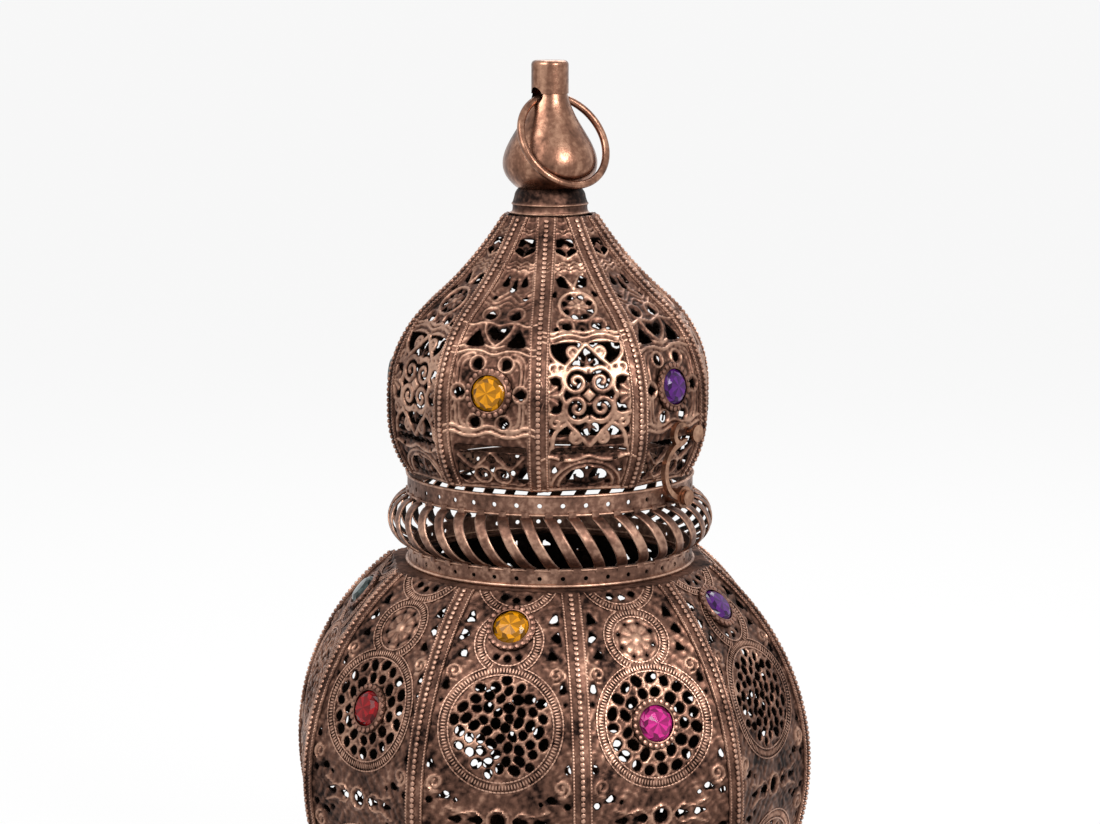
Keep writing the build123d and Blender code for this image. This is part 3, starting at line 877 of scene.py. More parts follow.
    def sheet(self, facing: float, roll_width: float) -> Surface:
        """The drawing as a pierced sheet on a facet.

        Spots near an edge move onto it along the slope of the distance; a cell stays where all its corners
        are metal, and keeps a triangle where three are. Metal rolls down towards its edges as a quarter
        circle. The tone rises with the relief and falls with the roll.

        Args:
            facing: Direction of the facet in degrees.
            roll_width: Distance over which the sheet drops at an edge.

        Returns:
            The outer skin.
        """
        metal = np.minimum(self.metal, self.edge)
        du, ds = self.u[0, 1] - self.u[0, 0], self.s[1, 0] - self.s[0, 0]
        slope_s, slope_u = np.gradient(metal, ds, du)
        steep = np.maximum(np.hypot(slope_u, slope_s), 1e-6)
        snap = np.abs(metal) < self.snap_share * max(du, ds)
        shift = np.where(snap, metal, 0.0) / steep
        u = self.u - shift * slope_u
        s = np.clip(self.s - shift * slope_s, 0.0, self.section.length)
        depth = np.clip(np.where(snap, 0.0, metal) / roll_width, 0.0, 1.0)
        fall = 1.0 - np.sqrt(depth * (2.0 - depth))
        points, _ = self.section.place(facing, u, s, self.relief - self.edge_roll * fall)
        tone = self.flat_tone + self.relief_tone * self.relief - self.roll_tone * fall
        quads = grid_quads(*s.shape)
        held = (snap | (metal > 0)).ravel()[quads]
        count = held.sum(axis=1)
        odd = count == 3
        tris = quads[odd][held[odd]].reshape(-1, 3)
        quads = quads[count == 4]
        used, back = np.unique(np.concatenate([quads.ravel(), tris.ravel()]), return_inverse=True)
        corners = back.reshape(-1)
        return Surface(points.reshape(-1, 3)[used], corners[:quads.size].reshape(-1, 4),
                       corners[quads.size:].reshape(-1, 3), np.clip(tone, 0.0, 1.0).ravel()[used])


@dataclass(frozen=True)
class LanternSizes:
    """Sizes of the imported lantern, in mm."""

    sheet: float = 0.9
    equator_z: float = 145.0
    body_apothem: float = 125.0
    body_end: float = 77.8
    body_half_height: float = 99.5
    neck_radius: float = 71.5
    low_band_z: float = 244.5
    slat_low: float = 254.0
    slat_top: float = 279.5
    band_top: float = 290.0
    dome_foot_z: float = 291.6
    dome_foot_apothem: float = 67.4
    dome_bulge: float = 9.8
    dome_bulge_height: float = 30.4
    dome_straight: float = 9.0
    dome_shoulder: float = 60.0
    dome_hollow: float = 184.0
    dome_top_z: float = 418.3
    dome_top_apothem: float = 21.4
    gem_radius: float = 8.6
    bezel_radius: float = 12.0
    dome_gem_rise: float = 47.5
    upper_gem_rise: float = 84.8
    lower_gem_rise: float = 42.7

    @functools.cached_property
    def bulb(self) -> Section:
        """Section of a bulb facet: one arc through both ends, even about the widest line.

        Returns:
            The section.
        """
        inward = self.body_apothem - self.body_end
        arc = (self.body_half_height ** 2 + inward ** 2) / (2 * inward)
        swing = math.degrees(math.asin(self.body_half_height / arc))
        return Section((Arc(self.body_apothem - arc, self.equator_z, arc, -swing, swing),))

    @functools.cached_property
    def dome(self) -> Section:
        """Section of a dome facet: tucked-in foot, upright, round shoulder, and a hollow up to the collar.

        The hollow's centre lies beyond the shoulder's by both radii, at the angle where the hollow meets the
        collar, which the cosine rule gives.

        Returns:
            The section.
        """
        foot = (self.dome_bulge_height ** 2 + self.dome_bulge ** 2) / (2 * self.dome_bulge)
        swing = math.degrees(math.asin(self.dome_bulge_height / foot))
        wide = self.dome_foot_apothem + self.dome_bulge
        wide_z = self.dome_foot_z + self.dome_bulge_height
        x, z = wide - self.dome_shoulder, wide_z + self.dome_straight
        span = self.dome_shoulder + self.dome_hollow
        dx, dz = self.dome_top_apothem - x, self.dome_top_z - z
        far = math.hypot(dx, dz)
        near = (span ** 2 + far ** 2 - self.dome_hollow ** 2) / (2 * span)
        turn = math.atan2(dz, dx) - math.acos(near / far)
        hollow_x, hollow_z = x + span * math.cos(turn), z + span * math.sin(turn)
        last = math.degrees(math.atan2(self.dome_top_z - hollow_z, self.dome_top_apothem - hollow_x))
        degrees = math.degrees(turn)
        return Section((Arc(wide - foot, wide_z, foot, -swing, 0.0),
                        Arc(x, z, self.dome_shoulder, 0.0, degrees),
                        Arc(hollow_x, hollow_z, self.dome_hollow, degrees - 180.0, last)))


SIZES = LanternSizes()


# Sub-assemblies


@dataclass
class DomeFacets:
    """Ten pierced facets of the dome, jewelled and scrolled by turns."""

    pitch: float = 0.6
    bar: float = 2.6
    rib: float = 4.6
    neck_lines: tuple[float, ...] = (117.4, 119.6, 121.8, 138.4, 140.6)
    middle: float = SIZES.dome.run_at(SIZES.dome_foot_z + SIZES.dome_gem_rise)

    def room(self, draw: Tracery) -> Array:
        """Half the width left between the ribs."""
        return SIZES.dome.half_width(draw.s) - self.rib

    def ground(self) -> Tracery:
        """Sheet with what both kinds share: a rolled foot, a line along each rib and the hollow neck's bands.

        Returns:
            The drawing so far.
        """
        draw = Tracery(SIZES.dome, self.pitch)
        draw.line(1.2, 1.2, 0.9, 0.9)
        draw.ridge(0.6 - np.abs(draw.side - self.room(draw) + 0.5), 0.4, 0.5)
        for level in self.neck_lines:
            draw.line(level - 0.7 * np.cos(1.1 * draw.u), 0.62, 0.75, 0.55)
        return draw

    def frames(self, draw: Tracery, levels: Outline, wave: float) -> None:
        """Raised wavy lines across the facet, a level plus a swing times a peaked cosine of the place across.

        Args:
            draw: The facet's drawing.
            levels: Level and swing of each line.
            wave: Distance between waves.
        """
        peak = (0.5 + 0.5 * np.cos(FULL * draw.u / wave)) ** 1.6
        for level, swing in levels:
            draw.line(level + swing * peak, 0.95, 0.95, 0.8)

    def jewelled(self) -> Tracery:
        """Six lobes about the jewel, V bars above, rings and teardrops below, small openings up the hollow.

        Returns:
            The drawing.
        """
        draw = self.ground()
        m = self.middle
        self.frames(draw, ((m - 20.6, 2.0), (m - 17.6, 2.0), (m + 20.6, -2.0), (m + 23.8, -2.0)), 20.0)
        square = ((draw.side / 18.2) ** 6 + (np.abs(draw.s - m) / 19.6) ** 6) ** (1 / 6)
        for size in (0.97, 0.86):
            draw.ridge(np.minimum(0.75 - 18.4 * np.abs(square - size), draw.side - 8.5), 0.6, 0.6)
        for u, v, lean in ((7.3, 14.0, 62.0), (16.0, 0.0, 0.0), (7.3, -14.0, -62.0)):
            draw.hoop(u, m + v, 3.9)
            draw.pierce((u, m + v, 3.2, 4.7, lean + 180.0))
        for turn in np.radians(np.linspace(-54.0, 54.0, 7)):
            cos, sin = math.cos(turn), math.sin(turn)
            draw.vein(((14.0 + 6.2 * cos, m + 5.4 * sin), (14.0 + 9.0 * cos, m + 10.5 * sin)), 1.1, 0.6, 0.5)
        self.jewel_foot(draw)
        draw.open_up(((5.2, 72.6), (15.6, 72.2), (14.2, 76.0), (10.4, 81.4)),
                     ((0.0, 75.4), (3.0, 77.2), (5.2, 81.0), (4.0, 82.4), (1.2, 82.0), (0.0, 80.6)))
        draw.vein(((0.0, 72.6), (3.4, 75.2), (6.6, 80.2), (7.4, 84.6)), 1.6, 0.85, 0.8)
        self.frames(draw, ((85.0, -1.6),), 14.0)
        draw.pierce((6.4, 89.6, 3.0, 4.9, 80.0))
        draw.hoop(6.4, 90.2, 4.2, 0.7, 0.7, 0.6)
        for level in (96.0, 99.5, 103.0):
            draw.line(level + 2.0 * np.cos(0.5 * draw.u), 0.7, 0.55, 0.6)
        draw.pierce((0.0, 106.0, 6.5, 3.4, 90.0), (4.8, 109.5, 5.2, 3.2, 96.0), (7.6, 101.0, 1.2))
        self.tip(draw)
        return draw

    def jewel_foot(self, draw: Tracery) -> None:
        """Foot of a jewelled facet: a slit, two triangles, two rings with curls and a teardrop at each side.

        Args:
            draw: The facet's drawing.
        """
        ring = (5.0, 8.8)
        draw.cut(draw.slit(22.8, 18.6, 1.3))
        draw.open_up(((3.4, 20.4), (15.8, 20.4), (13.0, 17.4), (9.4, 14.0), (6.6, 16.4)))
        draw.pierce((0.0, 17.6, 2.3), (14.9, 7.6, 8.2, 5.8, 74.0), (*ring, 3.5), (0.0, 12.6, 3.0, 2.4, -90.0),
                    (10.4, 10.6, 4.4, 2.2, -70.0))
        draw.lay(draw.path(scroll(ring, 4.0, 0.8, 90.0, -500.0, 60), 1.25), draw.disc(0.0, 17.6, 1.05),
                 draw.stem(((9.6, 20.8), (9.6, 17.6)), 1.2))
        draw.hoop(*ring, 4.5)
        arches = ((0.0, 20.8), (2.6, 18.0), (6.4, 14.6), (9.6, 12.6), (12.4, 14.6), (17.0, 19.0))
        draw.vein(arches, 1.5, 0.8, 0.75)
        draw.vein(((0.0, 3.4), (4.0, 2.9), (9.6, 4.0), (13.0, 3.2), (17.0, 5.4)), 1.4, 0.7, 0.7)

    def scrolled(self) -> Tracery:
        """Open field with four scrolls in a pointed lozenge, a rosette above it, crescents below.

        Returns:
            The drawing.
        """
        draw = self.ground()
        m = self.middle
        field_ends = np.minimum(draw.s - m + 24.2, m + 25.0 - draw.s)
        draw.cut(np.minimum(self.room(draw) - 0.9 - draw.side, field_ends))
        self.lozenge(draw, m)
        draw.lay(1.2 - np.abs(draw.s - m + 20.8))
        fan = draw.disc(21.4, m, 7.6)
        lobes = np.cos(10.0 * np.arctan2(draw.s - m, 21.4 - draw.side))
        draw.lay(fan + 0.7 * lobes - 0.3)
        draw.relief += np.where(fan > 0.0, 0.4 + 0.35 * lobes, 0.0)
        away = draw.side + np.abs(draw.s - m)
        draw.lay(3.5 - away, 0.8 - 0.7 * np.abs(away - 5.0))
        draw.ridge(3.5 - away, 1.2, 1.6)
        self.frames(draw, ((m + 26.4, -1.8), (m + 29.6, -1.8), (m + 31.8, -1.4)), 16.0)
        self.scroll_foot(draw)
        draw.pierce((7.6, 83.6, 2.6, 4.6, 50.0), (12.6, 82.4, 1.1), (0.0, 82.2, 1.0))
        draw.hoop(8.0, 84.0, 4.1)
        self.rosette(draw, 95.5, 9.7)
        draw.pierce((10.2, 103.0, 3.4, 2.4, 120.0))
        draw.open_up(((1.8, 107.4), (6.6, 108.4), (7.6, 113.0), (4.6, 114.6), (3.0, 111.0)))
        draw.vein(((0.0, 107.0), (1.4, 110.0), (3.6, 113.6), (6.2, 115.6)), 1.4, 0.85, 0.7)
        self.tip(draw)
        return draw

    def lozenge(self, draw: Tracery, middle: float) -> None:
        """Bars of the lozenge and its scrolls, drawn above a middle line and mirrored below it.

        Args:
            draw: The facet's drawing.
            middle: Run of the middle line.
        """
        stems = (((0.0, 24.6), (3.4, 21.2), (6.4, 17.6), (10.6, 13.6), (12.7, 8.4), (12.3, 3.8), (13.6, 0.0)),
                 ((10.8, 13.4), (14.2, 15.4), (17.4, 19.2), (18.2, 25.6)),
                 ((12.7, 8.4), (16.0, 9.6), (21.0, 8.6)),
                 ((0.0, 12.8), (2.6, 12.2), (5.6, 13.2), (8.6, 12.4)))
        curls = (((6.1, 6.1), 6.9, 1.0, 138.0, -560.0, 80), ((16.4, 13.0), 3.4, 0.9, 200.0, 430.0, 50),
                 ((6.2, 20.6), 3.2, 0.8, -60.0, 420.0, 50))
        bars = [round_path(stem) for stem in stems] + [scroll(*curl) for curl in curls]
        for way in BOTH:
            for bar in bars:
                shape = draw.path(bar * [1.0, way] + [0.0, middle], self.bar)
                draw.lay(shape)
                draw.ridge(shape, 0.8, 0.9)
            draw.lay(draw.drop(0.0, middle + way * 14.2, 5.0, 3.0, way * 90.0),
                     draw.drop(2.0, middle + way * 15.6, 2.4, 1.5, way * 40.0),
                     draw.disc(13.4, middle + way * 1.2, 1.7))

    def scroll_foot(self, draw: Tracery) -> None:
        """Foot of a scrolled facet: wavy line, arch and two crescents with small holes about them.

        Args:
            draw: The facet's drawing.
        """
        self.frames(draw, ((17.8, 2.2),), 19.0)
        for size in (1.0, 0.8):
            arch = 0.7 - 12.0 * np.abs(np.hypot(draw.u / 16.4, (draw.s - 4.6) / 12.4) - size)
            draw.ridge(np.where(draw.s > 3.0, arch, -1.0), 0.75, 0.6)
        draw.cut(draw.slit(22.6, 18.4, 1.2))
        draw.pierce((5.6, 8.8, 4.2), (0.0, 13.6, 1.1), (10.8, 5.0, 1.2), (13.2, 18.4, 1.1),
                    (2.2, 4.6, 2.2, 1.7, 0.0), (16.0, 12.2, 3.6, 2.6, 80.0))
        draw.lay(draw.drop(4.4, 6.8, 3.6, 3.6, 55.0))

    def rosette(self, draw: Tracery, s: float, radius: float) -> None:
        """Round flower: a double rim, a ring of openings, eight petals as a cosine of the angle, and a boss.

        Args:
            draw: The facet's drawing.
            s: Run of its middle.
            radius: Its outer radius.
        """
        away, turn = draw.polar(s)
        draw.hoop(0.0, s, radius - 0.8, 0.85, 1.0, 0.75)
        draw.swell(np.where(away < 5.0, 0.4 + 0.3 * np.cos(8.0 * turn), 0.0))
        draw.ridge(1.9 - away, 1.1, 1.6)
        for angle in np.arange(22.5, 360.0, 45.0):
            u, v = 6.5 * math.cos(math.radians(angle)), 6.5 * math.sin(math.radians(angle))
            draw.cut(draw.drop(u, s + v, 2.0, 2.9, angle + 90.0, False))

    def tip(self, draw: Tracery) -> None:
        """Opening under the collar with a small flower in it, alike on both kinds.

        Args:
            draw: The facet's drawing.
        """
        ends = np.minimum(draw.s - 125.6 - 0.5 * draw.side, 135.6 - draw.s)
        draw.cut(np.minimum(self.room(draw) - 0.8 - draw.side, ends))
        draw.lay(draw.stem(((0.0, 124.0), (0.0, 131.0)), 1.3), draw.disc(0.0, 131.4, 1.7),
                 draw.stem(((0.0, 128.6), (2.2, 130.6), (4.6, 131.0)), 1.1))
        draw.vein(((0.0, 124.4), (3.2, 126.4), (6.6, 129.6)), 1.4, 0.8, 0.7)

    def build(self) -> None:
        """Make the ten facets."""
        kinds = (self.jewelled(), self.scrolled())
        for kind in kinds:
            kind.emboss(0.34, 5.2)
        for k in range(FACETS):
            skin = kinds[k % 2].sheet(DOME_FACING + FACET_TURN * k, 0.8)
            piece(f"dome_facet_{k + 1:02d}", skin, BAR_COPPER, Rider.LID, (f"dome_panel_{k + 1:02d}",),
                  smooth=ROUND_SHADED, walled=True)


@dataclass(frozen=True)
class Band:
    """Round ladder band on a facet: two rails with rungs between them."""

    run: float
    radius: float
    half: float = 2.3

    def inside(self, across: Array, run: Array) -> Array:
        """Signed distance into the band, above zero between its rails."""
        return self.half - np.abs(np.hypot(across, run - self.run) - self.radius)


@dataclass
class BulbFacets:
    """Ten pierced facets of the bulb: a small and a large medallion above, the same below."""

    pitch: float = 0.82
    large: float = 27.6
    small: float = 14.2
    crown: float = 17.0
    crown_over: float = 5.3
    small_rise: float = 79.1
    rung_pitch: float = 1.5
    rail_pitch: float = 1.9
    dome_radius: float = 0.5
    rib: float = 5.0
    flange: float = 12.0
    golden_turn: float = 2.399963
    middle: float = SIZES.bulb.length / 2

    def run(self, rise: float) -> float:
        """Run of a height above the widest line."""
        return SIZES.bulb.run_at(SIZES.equator_z + rise)

    def bands(self) -> list[Band]:
        """Large, small and cut-off bands of the upper half, then those of the lower half.

        Returns:
            The bands.
        """
        made = []
        for way in BOTH:
            made += [Band(self.run(way * SIZES.lower_gem_rise), self.large),
                     Band(self.run(way * self.small_rise), self.small),
                     Band(self.middle + way * (self.middle + self.crown_over), self.crown)]
        return made

    def kept(self, spots: Array, others: list[Band], depth: float) -> Array:
        """Which spots lie on the facet between its ribs and outside the other bands.

        Args:
            spots: Places across and along the facet.
            others: Bands that they keep out of.
            depth: How far they may run into those.

        Returns:
            True for each spot that stays.
        """
        u, s = spots.T
        free = (np.abs(u) < SIZES.bulb.half_width(s) - self.rib) & (s > 1.2) & (s < SIZES.bulb.length - 1.2)
        for other in others:
            free &= other.inside(u, s) < depth
        return free

    def trim(self, facing: float) -> Surface:
        """Rails and rungs of the bands on one facet.

        A rail is a chain of long domes that overlap along a circle, and a rung is one long dome across the
        band. Where two bands meet they share their rungs, and the rails run on round the outside of both.

        Args:
            facing: Direction of the facet in degrees.

        Returns:
            All domes of the facet.
        """
        bands = self.bands()
        made = []
        for k, band in enumerate(bands):
            others = bands[:k] + bands[k + 1:]
            rail = (self.rail_pitch, 90.0, 2.7, others, 0.1)
            for radius, (pitch, turned, stretch, against, depth) in (
                    (band.radius + band.half, rail), (band.radius - band.half, rail),
                    (band.radius, (self.rung_pitch, 0.0, 3.3, bands[:k], 0.4))):
                spots = spaced(ring_path(band.run, radius, steps=240), pitch)
                u, s = spots[self.kept(spots, against, depth)].T
                angle = np.arctan2(s - band.run, u) + math.radians(turned)
                points, normals = SIZES.bulb.place(facing, u, s, 0.25)
                ahead, _ = SIZES.bulb.place(facing, u + 0.1 * np.cos(angle), s + 0.1 * np.sin(angle), 0.25)
                made.append(beads(points, normals, self.dome_radius, 0.95, 6, ahead - points, stretch))
        return joined(made)

    def holes(self, draw: Tracery, spots: Array, radius: float, centre: float) -> None:
        """Cut uneven oval holes inside a large medallion and raise a lip round each.

        Every hole is moved, sized, turned and drawn out by waves of its number, so that the bars between them
        wander.

        Args:
            draw: The facet's drawing.
            spots: Even places of the holes.
            radius: Their mean radius.
            centre: Run of the medallion's middle.
        """
        moved, sized, stretched = 0.42, 0.26, 0.2
        order = np.arange(len(spots))
        places = spots + moved * np.stack([np.sin(2.3 * order), np.cos(3.7 * order)], axis=1)
        sizes = radius + sized * np.sin(1.9 * order)
        cos, sin = np.cos(1.7 * order), np.sin(1.7 * order)
        long = 1.0 + stretched * np.abs(np.sin(2.9 * order))
        u, s = draw.u[..., None] - places[:, 0], draw.s[..., None] - places[:, 1]
        inside = (sizes - np.hypot((u * cos + s * sin) / long, (s * cos - u * sin) * long)).max(axis=-1)
        lip = 0.85 - np.abs(inside + 0.75)
        draw.ridge(np.minimum(draw.disc(0.0, centre, self.large - 2.5), lip), 0.6, 0.7)
        draw.cut(inside)

    def rings(self, run: float) -> Array:
        """Places of holes in two rings about a jewel: thirteen within nineteen.

        Args:
            run: Run of the jewel.

        Returns:
            Places across and along the facet.
        """
        inner, outer = 15.1, 21.8
        return np.vstack([spaced(ring_path(run, inner, 8.0), FULL * inner / 13),
                          spaced(ring_path(run, outer), FULL * outer / 19)])

    def lattice(self, run: float) -> Array:
        """Places of holes on a sunflower spiral: the radius grows as the root of the number.

        Args:
            run: Run of the spiral's middle.

        Returns:
            Places across and along the facet.
        """
        order = np.arange(72)
        radius, turn = 3.12 * np.sqrt(order + 0.5), order * self.golden_turn
        spots = np.stack([radius * np.cos(turn), run + radius * np.sin(turn)], axis=1)
        return spots[radius < self.large - 4.7]

    def drawing(self, jewel_low: bool) -> Tracery:
        """One kind of facet.

        The large medallion has rings of holes about a jewel, or a lattice of holes. The small one holds a
        jewel or a flower. Curls and three-cornered holes fill the corners.

        Args:
            jewel_low: Whether the jewel sits in the large medallion.

        Returns:
            The drawing.
        """
        draw = Tracery(SIZES.bulb, self.pitch)
        for way in BOTH:
            low, high = self.run(way * SIZES.lower_gem_rise), self.run(way * self.small_rise)
            if jewel_low and way > 0:
                self.holes(draw, self.rings(low), 2.55, low)
            else:
                self.holes(draw, self.lattice(low), 2.3, low)
            if jewel_low or way < 0:
                self.flower(draw, high)
            else:
                draw.pierce((0.0, high - 8.3, 1.7), (5.2, high - 7.4, 1.4))
            self.corners(draw, way)
        self.waist(draw)
        draw.emboss(0.42, 6.4)
        return draw

    def flower(self, draw: Tracery, s: float) -> None:
        """Clustered flower in the small medallion: eight veined leaves, a scalloped ring and a boss.

        Leaves and scallops are cosines of the angle about the middle.

        Args:
            draw: The facet's drawing.
            s: Run of its middle.
        """
        away, turn = draw.polar(s)
        leaf = np.abs(np.cos(4.0 * turn)) ** 0.7
        reach = np.clip((8.7 * (0.72 + 0.28 * leaf) - away) / 1.2, 0.0, 1.0)
        vein = 1.0 - 0.45 * np.exp(-(np.sin(4.0 * turn) * away / 2.4) ** 2)
        scallop = np.clip(1.4 - np.abs(away - 10.2), 0.0, 1.0) * (0.55 + 0.45 * np.cos(8.0 * turn))
        draw.swell(0.75 * scallop)
        draw.swell(np.where(away > 2.6, 0.95 * leaf * reach * vein, 0.0))
        draw.ridge(2.9 - away, 1.3, 2.2)
        for angle in np.radians([-67.5, -22.5, 22.5, 67.5]):
            draw.pierce((9.0 * math.cos(angle), s + 9.0 * math.sin(angle), 0.95))

    def corners(self, draw: Tracery, way: float) -> None:
        """Curls and three-cornered holes beside the small medallion, and holes in the cut-off one at the end.

        Args:
            draw: The facet's drawing.
            way: 1 for the upper half, -1 for the lower half.
        """
        curls = ((24.4, 69.8), (30.2, 17.0))
        three_cornered = (((19.4, 88.6), (25.2, 84.4), (22.4, 92.6)),
                          ((17.4, 96.0), (22.4, 95.4), (20.2, 103.4)),
                          ((19.0, 77.6), (25.6, 77.0), (20.4, 82.6)))
        drops = ((28.2, 62.6, 4.6, 3.2, 100.0), (25.0, 11.4, 5.0, 3.6, -20.0), (33.0, 25.0, 4.4, 3.0, 95.0))
        dots = ((33.2, 8.6, 1.5), (29.6, 56.0, 1.0), (20.6, 9.0, 1.2))
        for u, v in curls:
            curl = scroll((u, self.middle + way * v), 4.4, 0.9, -way * 100.0, way * 520.0, 60)
            draw.ridge(draw.path(curl, 1.5), 0.9, 0.75)
        draw.open_up(*(tuple((u, self.middle + way * v) for u, v in outline) for outline in three_cornered))
        draw.pierce(*((u, self.middle + way * v, *size, way * lean) for u, v, *size, lean in drops),
                    *((u, self.middle + way * v, size) for u, v, size in dots))
        for angle in np.radians([-90.0, -57.0]):
            rise = self.middle + self.crown_over + 10.6 * math.sin(angle)
            draw.pierce((10.6 * math.cos(angle), self.middle + way * rise, 1.8))

    def waist(self, draw: Tracery) -> None:
        """Row of openings along the widest line between the two large medallions.

        Args:
            draw: The facet's drawing.
        """
        m = self.middle
        draw.hoop(0.0, m, 5.2, height=0.85)
        draw.pierce((0.0, m, 3.4), (9.0, m, 5.6, 4.0, 0.0), (19.4, m, 4.8, 3.4, 0.0))
        for way in BOTH:
            line = ((6.4, m), (11.0, m + way * 4.2), (17.0, m + way * 3.2), (24.6, m + way * 5.8))
            draw.vein(line, 1.4, 0.85, 0.7)

    def flanges(self) -> Surface:
        """Flat ten-sided rings turned in at both ends of the bulb, facing out of it.

        Returns:
            Both rings.
        """
        seams = BODY_FACING + FACET_TURN * (np.arange(FACETS) + 0.5)
        corners = np.stack([facing_axes(seam)[0] for seam in seams]) / math.cos(HALF_TURN)
        made = []
        for way in BOTH:
            height = SIZES.equator_z + way * (SIZES.body_half_height - 0.05)
            edges = (SIZES.body_end - 0.1, SIZES.body_end - self.flange)[::int(way)]
            made.append(Surface(np.vstack([far * corners + height * UP for far in edges]),
                                grid_quads(2, FACETS, True)))
        return joined(made).toned(0.3)

    def build(self) -> None:
        """Make the ten facets, the trim of their bands and the flanges."""
        piece("bulb_flanges", self.flanges(), FLANGE_COPPER, Rider.BODY, smooth=FLAT_SHADED, walled=True)
        kinds = (self.drawing(False), self.drawing(True))
        for k in range(FACETS):
            facing = BODY_FACING + FACET_TURN * k
            piece(f"bulb_facet_{k + 1:02d}", kinds[k % 2].sheet(facing, 0.9), COPPER, Rider.BODY,
                  (f"body_panel_{k + 1:02d}",), smooth=ROUND_SHADED, walled=True)
            piece(f"bulb_trim_{k + 1:02d}", self.trim(facing), BEAD_COPPER, Rider.BODY)


@dataclass
class Ribs:
    """Beaded strips over the seams of a dome or a bulb."""

    name: str
    section: Section
    facing: float
    rider: Rider
    node: str
    half: float = 4.6
    strip_pitch: float = 2.5
    bead: float = 1.35
    bead_pitch: float = 2.6
    grain: float = 0.62
    grain_pitch: float = 1.5
    channel: float = 0.72
    edge_share: float = 0.885
    edge_lift: float = 1.25
    lip: Outline = ((1.0, 0.5), (0.99, 1.0), (0.93, 1.3), (0.84, 1.3), (0.76, 1.0), (0.7, 0.75), (0.4, 0.7))
    sole: Outline = ((1.0, 0.05), (0.0, 0.05), (-1.0, 0.05))

    def line(self, run: Array, across: float, lift: float, seam: float) -> tuple[Array, Array]:
        """Points on the folded strip over a seam, and their outward directions.

        A point lies across from the fold and falls away with the facets: lift - |across| tan(half turn).

        Args:
            run: Run along the section.
            across: Distance from the fold.
            lift: Height above the sheet.
            seam: Direction of the seam in degrees.

        Returns:
            Points and directions.
        """
        far, height, out, up = (part[:, None] for part in self.section.at(run))
        ahead, right = facing_axes(seam)
        normal = unit(out * math.cos(HALF_TURN) * ahead + up * UP)
        fold = far / math.cos(HALF_TURN) * ahead + height * UP
        rise = lift - abs(across) * math.tan(HALF_TURN) * np.abs(out)
        return fold + across * right + rise * normal, normal

    def strip(self, seam: float) -> Surface:
        """Folded strip with raised edges and a shallow channel, as an outline carried along the seam.

        Args:
            seam: Direction of the seam in degrees.

        Returns:
            The closed strip, worn along its raised edges.
        """
        left = [(-x, y) for x, y in self.lip]
        profile = np.array([*left, (0.0, self.channel), *self.lip[::-1], *self.sole])
        run = np.linspace(0.0, self.section.length, int(self.section.length / self.strip_pitch))
        grid = np.stack([self.line(run, self.half * x, y, seam)[0] for x, y in profile], axis=1)
        tone = np.broadcast_to(np.clip(0.3 + 0.6 * (profile[:, 1] - 0.6), 0.1, 0.8), grid.shape[:2]).ravel()
        return tube(grid, capped=True).toned(np.concatenate([tone, [0.3, 0.3]]))

    def build(self) -> None:
        """Make the strips, their large beads and their milled edges."""
        seams = self.facing + FACET_TURN * (np.arange(FACETS) + 0.5)
        strips = joined([self.strip(seam) for seam in seams])
        piece(f"{self.name}_strips", strips, COPPER, self.rider, (self.node,))
        run = np.arange(2.2, self.section.length - 1.5, self.bead_pitch)
        large = [beads(*self.line(run, 0.0, self.channel, seam), self.bead, 0.85, 8) for seam in seams]
        run = np.arange(1.0, self.section.length - 0.6, self.grain_pitch)
        edge = self.edge_share * self.half
        fine = [beads(*self.line(run, side, self.edge_lift, seam), self.grain, 0.8)
                for seam in seams for side in (-edge, edge)]
        piece(f"{self.name}_beads", joined(large), BEAD_COPPER, self.rider)
        piece(f"{self.name}_edges", joined(fine), BEAD_COPPER, self.rider)


